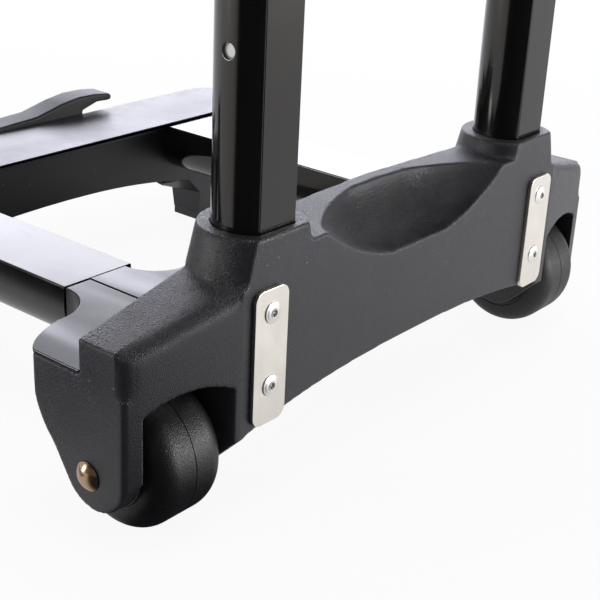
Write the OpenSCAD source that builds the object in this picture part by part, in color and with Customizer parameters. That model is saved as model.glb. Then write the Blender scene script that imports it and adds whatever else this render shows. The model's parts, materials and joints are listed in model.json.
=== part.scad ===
// Folding accordion trolley: a wheeled base with a fold-up platform and a telescopic handle.
// Millimetres. +X is to the right seen from behind, +Y runs forward to the platform, +Z is up.
// Depths are written from the back face of the base and shifted to the middle by place().

/* [Base] */
// Width over the two wheel cheeks
base_w = 350; // [345:1:360]
// Depth of the raised back body
body_d = 34; // [34:0.5:36]
// Height of the ledge in front of the body
ledge_z = 74.6; // [73:0.1:76]
// Thickness of the glossy deck plate
deck_t = 3.6; // [3:0.1:5]
// Thickness of its lip over the wings
lip_t = 1.4; // [1:0.1:2]
// Height of the crown between the collars
crown_z = 114.5; // [113:0.5:117]
// Height of the shoulder beside a collar
shoulder_z = 102; // [100:0.5:104]
// Height of the shoulder at the outer cheek
cheek_z = 88; // [84:0.5:92]
// Height of the bottom edge in the middle of the base
arch_z = 46; // [42:0.5:50]
// Drop of that edge from the middle to the wheel wells
arch_drop = 12; // [8:0.5:14]
// Wall of the housing
shell_t = 3.5; // [2.5:0.1:4.5]
// Thickness of the stiffening ribs
rib_t = 2.5; // [1.5:0.1:3.5]
// How far the wings are swept forward at the cheek
wing_sweep = 9; // [7:0.5:11]
// Depth of the ledge's front edge
ledge_y = 75; // [74:0.5:77]
// Gap between the hand hollow's tip and an upright's centre
scoop_clear = 24; // [20:1:35]
// Radius of the hand hollow's curve
scoop_r = 27; // [22:0.5:29]
// Radius of the hollow's level floor
scoop_floor = 25; // [18:0.5:27]
// Drop of the ends of the crown
crown_drop = 2.5; // [0:0.5:4]

/* [Wheels] */
// Radius of a wheel
wheel_r = 30; // [26:0.5:32]
// Width of a wheel
wheel_w = 37; // [30:0.5:38]
// Radius of the tread's shoulders
wheel_shoulder = 10; // [4:0.5:12]
// Radius of the hub under the tyre
hub_r = 16; // [14:0.5:18]
// Radius of an axle
axle_r = 5; // [4:0.1:5.5]
// Radius of an axle's domed head
axle_head_r = 6.3; // [6:0.1:9]
// Height of that head
axle_head_h = 3; // [2:0.1:3.5]
// Width of a wheel well
well_w = 43; // [42:0.5:45]
// Thickness of an outer cheek
cheek_t = 8.5; // [8:0.5:10]
// Thickness of the inner wall of a well
well_wall = 6; // [5:0.5:6.5]
// Depth of an axle from the back face
axle_y = 30; // [29.5:0.5:31]
// Radial running clearance of a bush on its axle
run_gap = 0.05; // [0.02:0.01:0.1]

/* [Uprights] */
// Distance from a cheek to an upright's centre
upright_inset = 78; // [77:0.5:80]
// Radius of the round side of a lower tube
lower_r = 17; // [16.5:0.1:17]
// Depth from a lower tube's centre to its flat back
lower_flat = 13; // [12.5:0.1:13.5]
// Wall of a lower tube
lower_wall = 1.5; // [1.2:0.1:2]
// Setback of the flat from the back face of the base
flat_setback = 4; // [3.5:0.1:5]
// Height of the lower end of a lower tube
lower_foot_z = 48; // [46:0.5:50]
// Height of the upper end of a lower tube
lower_top_z = 600; // [540:5:680]
// Radius of the round side of an upper tube
upper_r = 14.2; // [13.6:0.1:14.6]
// Wall of an upper tube
upper_wall = 1.4; // [1:0.1:1.8]
// Travel of the handle
handle_travel = 365; // [250:5:370]
// Height of the lock holes with the handle in
lock_z = 190.5; // [185:0.5:215]
// Radius of a lock hole in a lower tube
lock_hole_r = 3.2; // [3:0.1:4]

/* [Collars] */
// Height of a collar's rim
collar_z = 120; // [118:0.5:126]
// Wall of a collar at its rim
collar_wall = 5.8; // [4:0.1:6]
// Flare of a collar down to the shoulder
collar_flare = 4.2; // [2:0.1:5]

/* [Fixing plates] */
// Distance from a cheek to a steel plate's centre
plate_inset = 70; // [69:0.5:73]
// Width of a plate
plate_w = 20; // [16:0.5:22]
// Height of a plate
plate_h = 60; // [56:0.5:62]
// Thickness of a plate
plate_t = 2; // [1.5:0.1:3]
// Height of a plate's lower edge
plate_z = 38.6; // [38:0.1:40]
// Height of the lower rivet
rivet_z = 55.8; // [53:0.1:57]
// Distance between a plate's rivets
rivet_pitch = 32.4; // [29:0.1:33]
// Radius of a rivet's shank
rivet_r = 2.4; // [2:0.1:2.6]
// Radius of a rivet's head
rivet_head_r = 4.75; // [4:0.05:5.5]
// Height of a rivet's head
rivet_head_h = 1.6; // [1:0.1:2]

/* [Platform] */
// Depth of the fold axis from the back face
fold_y = 80; // [78:0.5:82]
// Height of the fold axis
fold_z = 69; // [68.8:0.1:69.2]
// Radius of a hinge pin
fold_pin_r = 3.5; // [3:0.1:3.6]
// Distance from a cheek to a hinge ear's inner side
ear_inset = 63; // [63:0.5:67]
// Front face of the ears
ear_y = 98; // [97:0.5:99]
// Width of a platform arm
arm_w = 40; // [36:0.5:42]
// Distance from a cheek to an arm's outer side
arm_inset = 49; // [47:0.5:49]
// Straight upper part of an arm's side
arm_side = 10.8; // [9:0.2:14]
// Wall of an arm
arm_wall = 1.8; // [1.4:0.1:2.4]
// Gap at the fold between the arms and the ears
fold_gap = 1.2; // [1:0.1:1.5]
// Rear face of the crosspiece
cross_y = 253; // [245:1:278]
// Depth of the crosspiece
cross_d = 48; // [44:0.5:60]
// Distance from a cheek to the crosspiece's end
cross_inset = 3; // [0:0.5:10]
// Height of the crosspiece's top
cross_z = 76; // [75.8:0.1:77]
// Thickness of the crosspiece's cover
cover_t = 3; // [2.6:0.1:4]
// Wall of the crosspiece
cross_wall = 3; // [2.4:0.1:4]
// Height of the crosspiece's lower edge in the middle
cross_arch_z = 43.4; // [41:0.2:45]
// Width of a leg at the floor
leg_w = 24; // [20:0.5:28]
// Height of a rubber foot
foot_h = 5; // [4:0.5:8]
// Half length of the cord hook
hook_half_l = 88; // [84:1:94]
// Depth of the cord hook
hook_d = 17; // [14:0.5:22]

/* [Handle] */
// Height of the brace on the lower tubes
brace_h = 36; // [30:1:44]
// Wall of the brace's collars
brace_wall = 4; // [3:0.2:5]
// Height of the grip over the brace, with the handle in
grip_rise = 74; // [66:1:90]
// Height of the grip bar
grip_h = 32; // [30:0.5:38]
// Depth of the grip bar
grip_d = 33; // [32:0.5:35]
// Wall of the grip shells
grip_wall = 3; // [2.4:0.1:3.6]
// Length of the release button
button_l = 44; // [32:1:60]
// Travel of the release button
button_travel = 5; // [4:0.2:5]
// Radius of a release rod
rod_r = 2; // [1.5:0.1:2]
// Travel of a lock pin
lock_travel = 3; // [2:0.1:3]
// Radius of a lock pin's nose
lock_pin_r = 3; // [2.4:0.1:3]

/* [Hidden] */

$fn = 64;
fit = 0.3;
overcut = 1;
steps = 10;

// Finishes
grained_black = [0.27, 0.27, 0.28];
gloss_black = [0.06, 0.06, 0.07];
anodised = [0.10, 0.10, 0.11];
nickel = [0.88, 0.87, 0.83];
steel = [0.70, 0.70, 0.70];
rubber_black = [0.13, 0.13, 0.14];
nylon_white = [0.93, 0.93, 0.91];

// Places worked out from the sizes
cheek_x = base_w / 2;
well_out = cheek_x - cheek_t;
well_in = well_out - well_w;
socket_x = well_in - well_wall;
wheel_x = (well_out + well_in) / 2;
deck_z = ledge_z - deck_t;
wing_top = ledge_z - lip_t;
upright_x = cheek_x - upright_inset;
upright_y = flat_setback + lower_flat;
plate_x = cheek_x - plate_inset;
scoop_half_l = upright_x - scoop_clear;
arm_out = cheek_x - arm_inset;
ear_in = cheek_x - ear_inset;
leg_in = arm_out;
arm_x = arm_out - arm_w / 2;
arm_y = ear_y + fold_gap;
arm_end = cross_y + cross_d - cross_wall;
lug_in = arm_out - arm_w + 3.7;
bar_r = 22.3;
bar_front = fold_y + 0.4;
bar_z = ledge_z - 27;
strip_y = fold_y - bar_r - 0.7;
cross_front = cross_y + cross_d;
hook_front = cross_front + hook_d;
leg_y = cross_y + 6;
leg_d = 23;
brace_top = lower_top_z + 6;
brace_foot = brace_top - brace_h;
upper_flat = lower_flat - (lower_r - upper_r);
upper_foot_z = lock_z + 16;
grip_top = brace_top + grip_rise;
bar_foot = grip_top - grip_h;
tube_top = bar_foot + 4;
yoke_z = bar_foot + 14;
rivet_hole_r = 1.35;
rivet_ball = (rivet_head_r * rivet_head_r + rivet_head_h * rivet_head_h) / (2 * rivet_head_h);
rivet_rim = rivet_head_h - rivet_ball + sqrt(rivet_ball * rivet_ball - rivet_hole_r * rivet_hole_r);
back_y = -(plate_t + rivet_rim);
mid_y = (back_y + hook_front) / 2;

// The origin lies on the floor under the middle of the overall length
module place() {
    translate([0, -mid_y, 0]) children();
}

module both_sides() {
    children();
    mirror([1, 0, 0]) children();
}

function arc(x, y, r, from, to) =
    [for (i = [0 : steps]) [x + r * cos(from + (to - from) * i / steps), y + r * sin(from + (to - from)
        * i / steps)]];
function bend(a, b, c) =
    [for (i = [0 : steps]) let (t = i / steps) (1 - t) * (1 - t) * a + 2 * t * (1 - t) * b + t * t * c];
function mirrored(points) = [for (i = [len(points) - 1 : -1 : 0]) [-points[i][0], points[i][1]]];

// A round section with one side cut flat at depth flat behind the centre
module d_section(r, flat) {
    intersection() {
        circle(r = r);
        translate([-r, -flat]) square([2 * r, flat + r]);
    }
}

module d_tube(r, flat, wall, foot, top) {
    translate([upright_x, upright_y, foot]) linear_extrude(top - foot) difference() {
        d_section(r, flat);
        d_section(r - wall, flat - wall);
    }
}

// An outline drawn in X and Z, given a depth from y0 to y1
module along_y(y0, y1) {
    translate([0, y1, 0]) rotate([90, 0, 0]) linear_extrude(y1 - y0) children();
}

// An outline drawn in Y and Z, given a width from x0 to x1
module along_x(x0, x1) {
    translate([x0, 0, 0]) rotate([90, 0, 90]) linear_extrude(x1 - x0) children();
}

// Base seen from above, one half
ledge_corner = bend([cheek_x, ledge_y - 14.5], [cheek_x - 6, ledge_y - 5], [cheek_x - 25, ledge_y]);
back_corner_r = 3;
back_corner = arc(cheek_x - back_corner_r, wing_sweep + back_corner_r, back_corner_r, -79, 0);
ear_fillet_r = 22;
ear_fillet = arc(arm_out + ear_fillet_r, ear_y - 1, ear_fillet_r, 270, 180);

module base_plan() {
    polygon(concat([[0, 0], [well_in - 3, 0]], back_corner, ledge_corner, [[0, ledge_y]]));
}

// Front view of the body, one half
bottom_curve = [for (i = [0 : steps]) let (s = i / steps) [well_in * s, arch_z - arch_drop * pow(s, 2.6)]];

module body_front_view() {
    polygon(concat(bottom_curve, [[well_in, 15], [cheek_x, 15], [cheek_x, cheek_z], [socket_x, shoulder_z],
        [upright_x - lower_r, crown_z - crown_drop], [0, crown_z]]));
}

// Side view of a cheek or of a well's inner wall, with its round lug about the axle
lug_y = axle_y - 3;
lug_z = wheel_r + 3;
lug_r = 17.5;
lug_tangent = -34.6;

module lug_view(back, front) {
    low = lug_r / sqrt(2);
    translate([lug_y, lug_z]) circle(r = lug_r);
    polygon(concat([[lug_y, lug_z], [lug_y - low, lug_z - low],
        [back, max(lug_z, lug_z + lug_y - back - 2 * low)],
        [back, cheek_z + 20], [body_d, cheek_z + 20], [body_d, wing_top], [front, wing_top]],
        bend([front, ledge_z - 13], [front, ledge_z - 26], [front - 11.5, ledge_z - 38]),
        [[lug_y + lug_r * cos(lug_tangent), lug_z + lug_r * sin(lug_tangent)]]));
}

module scoop_shape(extra) {
    r = scoop_r + extra;
    half = scoop_half_l + extra;
    bend_r = (half * half + r * r) / (2 * r);
    translate([0, 2, crown_z + 1.5]) rotate([0, 90, 0]) rotate_extrude() intersection() {
        translate([r - bend_r, 0]) circle(r = bend_r, $fn = 180);
        translate([0, -half]) square([scoop_floor + extra, 2 * half]);
    }
}

module collar_outside() {
    rim_r = lower_r + collar_wall;
    intersection() {
        translate([upright_x, upright_y, 0]) union() {
            translate([0, 0, shoulder_z - 2])
                cylinder(h = collar_z - shoulder_z + 2, r1 = rim_r + collar_flare, r2 = rim_r);
            translate([0, 0, deck_z]) cylinder(h = shoulder_z - deck_z - 1, r = rim_r + 1);
        }
        cube([base_w, 100, collar_z + 1]);
    }
}

module socket_hole() {
    translate([upright_x, upright_y, lower_foot_z]) linear_extrude(collar_z) d_section(lower_r, lower_flat);
}

well_front = axle_y + wheel_r;
well_top = wheel_r + 35;

module wheel_well() {
    arch_r = 46;
    clearance = 4;
    along_y(-overcut, well_front + clearance) intersection() {
        translate([wheel_x, well_top - arch_r]) circle(r = arch_r, $fn = 120);
        translate([well_in, 0]) square([well_w, well_top + 1]);
    }
    translate([well_in, -overcut, -overcut]) cube([well_w, well_front + clearance + overcut, wheel_r + 10]);
}

hollow_end = upright_x - lower_r - 4;
rib_pitch = hollow_end / 2.92;

module rear_half() {
    difference() {
        union() {
            // Raised back body
            intersection() {
                linear_extrude(200) intersection() {
                    base_plan();
                    translate([0, -1]) square([base_w, body_d + 1]);
                }
                along_y(-1, body_d) body_front_view();
            }
            // Wing walls below the deck
            intersection() {
                linear_extrude(wing_top) base_plan();
                union() {
                    along_x(well_out, cheek_x) lug_view(0, ledge_y - 13.5);
                    along_x(socket_x, well_in) lug_view(0, ledge_y);
                    along_x(socket_x, well_out)
                        polygon([[well_front, wing_top], [ledge_y + 1, wing_top], [ledge_y + 1, 56],
                        [ledge_y - 5, 44], [ledge_y - 11, 40], [well_front, 46]]);
                    along_x(well_in, well_out) translate([body_d - 1, well_top])
                        square([ledge_y - body_d + 1, wing_top - well_top]);
                }
            }
            collar_outside();
        }
        // Underside of the cheek's outer corner
        intersection() {
            translate([well_out, -overcut, 0]) cube([cheek_t + 1, body_d + 2, cheek_z]);
            difference() {
                translate([well_out, -overcut, 0]) cube([cheek_t + 1, body_d + 2, cheek_z]);
                along_x(well_out - 1, cheek_x + 2) lug_view(wing_sweep - 2, 70);
            }
        }
        wheel_well();
        socket_hole();
        // Hollow between the collars
        difference() {
            translate([-overcut, shell_t, 0])
                cube([hollow_end + overcut, body_d - 2 * shell_t, crown_z - crown_drop - shell_t]);
            scoop_shape(shell_t);
            for (i = [0 : 2]) translate([i * rib_pitch - rib_t / 2, 0, 0]) cube([rib_t, body_d, crown_z]);
        }
        // Relief under the socket floor
        translate([hollow_end + rib_t, shell_t + 3, 0])
            cube([2 * lower_r - 2, body_d - 2 * shell_t - 3, lower_foot_z - 4]);
        scoop_shape(0);
        // Rivets, axle and deck screws
        for (i = [0, 1]) translate([plate_x, -overcut, rivet_z + i * rivet_pitch]) rotate([-90, 0, 0])
            cylinder(h = upright_y, r = rivet_r);
        translate([socket_x - overcut, axle_y, wheel_r]) rotate([0, 90, 0]) cylinder(h = base_w, r = axle_r);
        translate([socket_x - clip_room, axle_y, wheel_r]) rotate([0, 90, 0])
            cylinder(h = clip_room, r = axle_r + clip_rim + 1);
        deck_screw_places() cylinder(h = ledge_z, r = screw_r);
        deck_screw_places() cylinder(h = deck_screw_foot, r = screw_head_r + fit);
        deck_screw_places() translate([0, 0, deck_z]) cylinder(h = deck_t, r = deck_pad_r);
    }
}

module rear_housing() {
    color(grained_black) both_sides() rear_half();
}

deck_screw_foot = 48;
deck_pad_r = 4.5;

module deck_screw_places() {
    for (x = [wheel_x - 11, wheel_x + 11]) translate([x, axle_y + wheel_r + 7.5, 0]) children();
}

module deck_screws() {
    color(steel) both_sides() deck_screw_places() {
        translate([0, 0, deck_screw_foot - screw_head_h])
            cylinder(h = ledge_z - 1 - deck_screw_foot + screw_head_h, r = screw_r);
        translate([0, 0, deck_screw_foot - screw_head_h]) cylinder(h = screw_head_h, r = screw_head_r);
    }
}

// Glossy deck: ledge plate, hinge ears with their fillets, front wall and ribs
ear_foot = 44;
rib_foot = 50;
ear_root_y = body_d + 24;

module front_deck_half() {
    difference() {
        union() {
            translate([0, 0, wing_top]) linear_extrude(lip_t) deck_plan();
            translate([0, 0, deck_z]) linear_extrude(deck_t - lip_t) difference() {
                deck_plan();
                translate([socket_x, 0]) square([base_w, ledge_y]);
            }
            deck_screw_places() translate([0, 0, deck_z]) cylinder(h = deck_t - 1, r = deck_pad_r);
            translate([0, 0, ear_foot]) linear_extrude(deck_z - ear_foot) difference() {
                ear_plan();
                translate([socket_x, 0]) square([base_w, ledge_y]);
            }
            translate([0, strip_y - shell_t, arch_z]) cube([socket_x, shell_t, deck_z - arch_z]);
            for (x = [rib_t / 2, rib_pitch, 2 * rib_pitch]) translate([x - rib_t / 2, body_d, rib_foot])
                cube([rib_t, strip_y - shell_t - body_d, deck_z - rib_foot]);
            translate([socket_x - shell_t, body_d, rib_foot])
                cube([shell_t, ear_y - 20 - body_d, deck_z - rib_foot]);
        }
        // Room for the collars' front bosses
        translate([upright_x, upright_y, deck_z - 30]) cylinder(h = 40, r = lower_r + collar_wall + 1);
        translate([0, fold_y, fold_z]) rotate([0, 90, 0]) cylinder(h = arm_out - 2, r = fold_pin_r);
        deck_screw_places() cylinder(h = ledge_z - 1, r = screw_r);
    }
}

module deck_plan() {
    difference() {
        union() {
            intersection() {
                base_plan();
                translate([0, body_d]) square([base_w, 100]);
            }
            ear_plan();
        }
        translate([-1, strip_y]) square([ear_in + 1, 100]);
    }
}

module ear_plan() {
    polygon(concat([[ear_in, strip_y - shell_t], [ear_in, ear_y], [arm_out, ear_y]],
        [for (i = [steps : -1 : 0])
            ear_fillet[i]], [[arm_out + ear_fillet_r, ear_root_y], [socket_x, ear_root_y],
        [socket_x, strip_y - shell_t]]));
}

module front_deck() {
    color(gloss_black) both_sides() front_deck_half();
}

module lower_tube() {
    difference() {
        d_tube(lower_r, lower_flat, lower_wall, lower_foot_z, lower_top_z);
        for (i = [0, 1]) translate([plate_x, -overcut, rivet_z + i * rivet_pitch]) rotate([-90, 0, 0])
            cylinder(h = upright_y, r = rivet_r);
        for (i = [0, 1]) translate([upright_x + 5, upright_y, lock_z + i * handle_travel])
            rotate([0, 90, 0]) cylinder(h = lower_r, r = lock_hole_r);
        brace_screw_places() cylinder(h = 14, r = screw_r);
    }
}

module right_lower_tube() {
    color(anodised) lower_tube();
}

module left_lower_tube() {
    color(anodised) mirror([1, 0, 0]) lower_tube();
}

module fixing_plate() {
    corner = 5;
    difference() {
        along_y(-plate_t, 0) difference() {
            translate([plate_x - plate_w / 2, plate_z]) square([plate_w, plate_h]);
            for (sx = [-1, 1]) for (top = [0, 1])
                translate([plate_x + sx * (plate_w / 2 - corner),
                    plate_z + (top ? plate_h - corner : corner)])
                difference() {
                    translate([sx > 0 ? 0 : -corner - 1, top ? 0 : -corner - 1]) square(corner + 1);
                    circle(r = corner);
                }
        }
        for (i = [0, 1]) translate([plate_x, -10, rivet_z + i * rivet_pitch]) rotate([-90, 0, 0])
            cylinder(h = 20, r = rivet_r);
    }
}

module right_fixing_plate() {
    color(nickel) fixing_plate();
}

module left_fixing_plate() {
    color(nickel) mirror([1, 0, 0]) fixing_plate();
}

// A domed head, thickness h and radius r, standing on z = 0
module domed_head(r, h) {
    ball = (r * r + h * h) / (2 * h);
    intersection() {
        translate([0, 0, h - ball]) sphere(r = ball);
        cylinder(h = h, r = r);
    }
}

module blind_rivet() {
    reach = plate_t + flat_setback + lower_wall;
    difference() {
        union() {
            rotate([90, 0, 0]) domed_head(rivet_head_r, rivet_head_h);
            rotate([-90, 0, 0]) cylinder(h = reach, r = rivet_r);
            rotate([-90, 0, 0]) cylinder(h = reach + 3, r = rivet_r - 0.3);
        }
        translate([0, -3, 0]) rotate([-90, 0, 0]) cylinder(h = 6, r = rivet_hole_r);
    }
}

module plate_rivets() {
    color(nickel) both_sides() for (i = [0, 1]) translate([plate_x, -plate_t, rivet_z + i * rivet_pitch])
        blind_rivet();
}

clip_t = 1.5;
clip_rim = 4;
clip_room = 8;

module axle() {
    translate([socket_x - clip_t - 2, axle_y, wheel_r]) rotate([0, 90, 0])
        cylinder(h = cheek_x - socket_x + clip_t + 2, r = axle_r);
    translate([cheek_x, axle_y, wheel_r]) rotate([0, 90, 0]) domed_head(axle_head_r, axle_head_h);
}

module right_axle() {
    color(steel) axle();
}

module left_axle() {
    color(steel) mirror([1, 0, 0]) axle();
}

module axle_clips() {
    color(steel) both_sides() translate([socket_x - clip_t, axle_y, wheel_r]) rotate([0, 90, 0])
        difference() {
        cylinder(h = clip_t, r = axle_r + clip_rim);
        translate([0, 0, -1]) cylinder(h = clip_t + 2, r = axle_r);
    }
}

// Wheels
hub_w = wheel_w - 2;
bush_r = axle_r + 2;
bush_w = well_w - 2 * fit;

module tyre_section() {
    half = wheel_w / 2;
    polygon(concat([[hub_r, -half + 1], [wheel_r - wheel_shoulder, -half]],
        arc(wheel_r - wheel_shoulder, -half + wheel_shoulder, wheel_shoulder, -90, 0),
        arc(wheel_r - wheel_shoulder, half - wheel_shoulder, wheel_shoulder, 0, 90), [[hub_r, half - 1]]));
}

module tyre() {
    translate([wheel_x, axle_y, wheel_r]) rotate([0, 90, 0]) rotate_extrude($fn = 96) tyre_section();
}

module hub() {
    dish = 1.5;
    translate([wheel_x, axle_y, wheel_r]) rotate([0, 90, 0]) rotate_extrude()
        polygon([[bush_r, -hub_w / 2], [bush_r + 4, -hub_w / 2],
        [bush_r + 4.6, -hub_w / 2 + dish], [hub_r - 2.6, -hub_w / 2 + dish], [hub_r - 2, -hub_w / 2],
            [hub_r, -hub_w / 2],
        [hub_r, hub_w / 2], [hub_r - 2, hub_w / 2], [hub_r - 2.6, hub_w / 2 - dish],
            [bush_r + 4.6, hub_w / 2 - dish],
        [bush_r + 4, hub_w / 2], [bush_r, hub_w / 2]]);
}

module bush() {
    translate([wheel_x - bush_w / 2, axle_y, wheel_r]) rotate([0, 90, 0]) difference() {
        cylinder(h = bush_w, r = bush_r);
        translate([0, 0, -1]) cylinder(h = bush_w + 2, r = axle_r + run_gap);
    }
}

module right_tyre() {
    color(rubber_black) tyre();
}

module left_tyre() {
    color(rubber_black) mirror([1, 0, 0]) tyre();
}

module right_hub() {
    color(rubber_black) hub();
}

module left_hub() {
    color(rubber_black) mirror([1, 0, 0]) hub();
}

module right_bush() {
    color(nylon_white) bush();
}

module left_bush() {
    color(nylon_white) mirror([1, 0, 0]) bush();
}

// Platform
module hinge_pin() {
    translate([lug_in + 3, fold_y, fold_z]) rotate([0, 90, 0])
        cylinder(h = arm_out - 2 - lug_in - 3, r = fold_pin_r);
}

module right_hinge_pin() {
    color(steel) hinge_pin();
}

module left_hinge_pin() {
    color(steel) mirror([1, 0, 0]) hinge_pin();
}

// Section of an arm: flat top, straight upper sides and a half-round underside
module arm_section(inset) {
    half = arm_w / 2 - inset;
    union() {
        translate([-half, -arm_side]) square([2 * half, arm_side - inset]);
        intersection() {
            translate([0, -arm_side]) circle(r = half);
            translate([-half, -arm_side - half]) square([2 * half, half + 0.01]);
        }
    }
}

module arm_solid(inset, y0, y1) {
    translate([arm_x, 0, ledge_z]) along_y(y0, y1) arm_section(inset);
}

module arm() {
    difference() {
        arm_solid(0, arm_y, arm_end);
        arm_solid(arm_wall, arm_y - 1, arm_end + 1);
        arm_screw_places() cylinder(h = arm_wall + 2, r = screw_r);
    }
}

module right_arm() {
    color(anodised) arm();
}

module left_arm() {
    color(anodised) mirror([1, 0, 0]) arm();
}

spigot_l = 34;

module bar_half() {
    corner_r = 18;
    pocket_pitch = lug_in / 3;
    pocket_d = 11;
    pocket_h = 13;
    difference() {
        union() {
            // Rear bar, round about the fold axis at the back
            along_x(0, ear_in - 0.4) intersection() {
                union() {
                    translate([fold_y, fold_z]) circle(r = bar_r, $fn = 120);
                    translate([fold_y, bar_z]) square([0.4, ledge_z - bar_z]);
                }
                translate([fold_y - bar_r, bar_z]) square([bar_r + 0.4, ledge_z - bar_z]);
            }
            // Lug in front of it, with the round inner corner
            translate([0, 0, bar_z]) linear_extrude(ledge_z - bar_z) difference() {
                translate([lug_in - corner_r, fold_y])
                    square([ear_in - 0.4 - lug_in + corner_r, arm_y - fold_y]);
                translate([lug_in - corner_r, bar_front + corner_r]) circle(r = corner_r);
                translate([lug_in - 2 * corner_r, bar_front + corner_r]) square([2 * corner_r, 20]);
            }
            arm_solid(arm_wall, arm_y, arm_y + spigot_l);
        }
        // Hollow underside
        for (i = [0 : 2])
            translate([i * pocket_pitch + (i ? rib_t / 2 : -overcut), fold_y - pocket_d - 2, bar_z - overcut])
            cube([pocket_pitch - rib_t / 2 + (i ? -rib_t / 2 : overcut), pocket_d, pocket_h + overcut]);
        arm_solid(arm_wall + 3, arm_y + 4, arm_y + spigot_l + 1);
        translate([lug_in + 3, fold_y, fold_z]) rotate([0, 90, 0])
            cylinder(h = ear_in - lug_in, r = fold_pin_r + run_gap);
        arm_screw_places() cylinder(h = 10, r = screw_r);
    }
}

module hinge_bar() {
    color(gloss_black) both_sides() bar_half();
}

screw_r = 2;
screw_head_r = 3.6;
screw_head_h = 2;
arm_foot = ledge_z - arm_side - arm_w / 2;
post_web = 3;

// Screws that hold the arms on their spigots and in the crosspiece, from below
module arm_screw_places() {
    for (y = [arm_y + spigot_l / 2, cross_y + cross_d / 2]) translate([arm_x, y, arm_foot - 0.5]) children();
}

module arm_screws() {
    color(steel) both_sides() {
        arm_screw_places() cylinder(h = 7, r = screw_r);
        translate([arm_x, arm_y + spigot_l / 2, arm_foot - screw_head_h])
            cylinder(h = screw_head_h, r = screw_head_r);
        translate([arm_x, cross_y + cross_d / 2, arm_foot - post_web - screw_head_h]) {
            cylinder(h = screw_head_h, r = screw_head_r);
            cylinder(h = screw_head_h + post_web + 1, r = screw_r);
        }
    }
}

cross_half = cheek_x - cross_inset;
cover_screw_in = 24;
cover_screw_out = cross_half - 18;
hook_screw_x = hook_half_l - 38;
hook_screw_z = cross_z - 15;
cross_top = cross_z - cover_t;
cross_curve = [for (i = [0 : steps]) let (s = i / steps) [(leg_in - 33) * s, cross_arch_z - 7 * pow(s, 2.3)]];

module cross_front_view(inset) {
    polygon(concat([for (p = cross_curve) [p[0], p[1] + inset]],
        [[leg_in - 27 + inset, 33 + inset], [leg_in + inset, 10 + inset],
            [leg_in + inset, foot_h + inset], [leg_in + leg_w - inset, foot_h + inset],
        [leg_in + leg_w - inset, 12 + inset], [cross_half - inset, 38 + inset],
            [cross_half - inset, cross_top], [0, cross_top]]));
}

module cross_side_view(inset) {
    polygon([[leg_y + inset, foot_h + inset], [cross_y + inset, 36], [cross_y + inset, cross_top],
        [cross_front - inset, cross_top],
        [cross_front - inset, 42], [leg_y + leg_d - inset, foot_h + inset]]);
}

module cross_plan(inset) {
    front_r = 14 - inset;
    translate([0, cross_y + inset]) difference() {
        square([cross_half - inset, cross_d - 2 * inset]);
        translate([cross_half - inset - front_r, cross_d - 2 * inset - front_r]) difference() {
            square(front_r + 1);
            circle(r = front_r);
        }
    }
}

module cross_solid(inset, top) {
    intersection() {
        linear_extrude(top) cross_plan(inset);
        along_y(cross_y - 1, cross_front + 1) cross_front_view(inset);
        along_x(-1, cross_half + 1) cross_side_view(inset);
    }
}

module crosspiece_half() {
    difference() {
        cross_solid(0, cross_top);
        difference() {
            cross_solid(cross_wall, cross_top);
            // Post under the arm's end
            translate([arm_x - 7, cross_y + cross_d / 2 - 7, 0]) cube([14, 14, cross_top]);
            cover_screw_places() translate([-cover_post / 2, -cover_post / 2, -60])
                cube([cover_post, cover_post, 80]);
        }
        arm_solid(0, cross_y - 1, arm_end);
        translate([arm_x, cross_y + cross_d / 2, 0]) cylinder(h = cross_z, r = screw_r);
        translate([arm_x, cross_y + cross_d / 2, 0])
            cylinder(h = arm_foot - post_web, r = screw_head_r + fit);
        hook_screw_places() cylinder(h = 30, r = screw_r);
        cover_screw_places() cylinder(h = cover_screw_l, r = screw_r);
        cover_screw_places() translate([0, 0, -60]) cylinder(h = 60, r = screw_head_r + fit);
    }
}

module crosspiece() {
    color(gloss_black) both_sides() crosspiece_half();
}

module crosspiece_cover() {
    lip = 3;
    color(gloss_black) both_sides() difference() {
        translate([0, 0, cross_top]) linear_extrude(cover_t) {
            difference() {
                translate([0, cross_y - lip - 1]) square([cross_half + lip, cross_d + lip + 1]);
                translate([cross_half + lip - 17, cross_front - 17]) difference() {
                    square(18);
                    circle(r = 17);
                }
            }
        }
        arm_solid(-0.2, cross_y - 10, arm_end + 0.2);
        cover_screw_places() cylinder(h = cover_screw_l, r = screw_r);
    }
}

cover_post = 11;
cover_screw_l = 11;

// Seats of the cover's screws, which come up from below
module cover_screw_places() {
    seat_z = cross_z - 1.2 - cover_screw_l;
    translate([cover_screw_in, cross_front - cross_wall - cover_post / 2, seat_z]) children();
    translate([cover_screw_out, cross_y + cross_wall + cover_post / 2, seat_z]) children();
}

module cover_screws() {
    color(steel) both_sides() cover_screw_places() {
        cylinder(h = cover_screw_l, r = screw_r);
        translate([0, 0, -screw_head_h]) cylinder(h = screw_head_h, r = screw_head_r);
    }
}

module foot() {
    translate([leg_in, leg_y, 0]) cube([leg_w, leg_d, foot_h]);
}

module right_foot() {
    color(rubber_black) foot();
}

module left_foot() {
    color(rubber_black) mirror([1, 0, 0]) foot();
}

// Two-horned hook for the holding cord, seen from the front, one half
hook_low = 50;

module hook_half_view() {
    l = hook_half_l;
    polygon([[0, hook_low], [l - 20, hook_low], [l - 14, hook_low + 6], [l - 13, cross_z - 5],
        [l - 24, cross_z - 1.5], [l - 24, cross_z + 1.5],
        [l - 12, cross_z + 5], [l - 3, cross_z + 4.6], [l, cross_z + 5], [l, cross_z + 8],
            [l - 2, cross_z + 9], [l - 13, cross_z + 10.4],
        [l - 27, cross_z + 10.6], [l - 41, cross_z + 8.5], [l - 60, cross_z + 4], [0, cross_z + 2.6]]);
}

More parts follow.
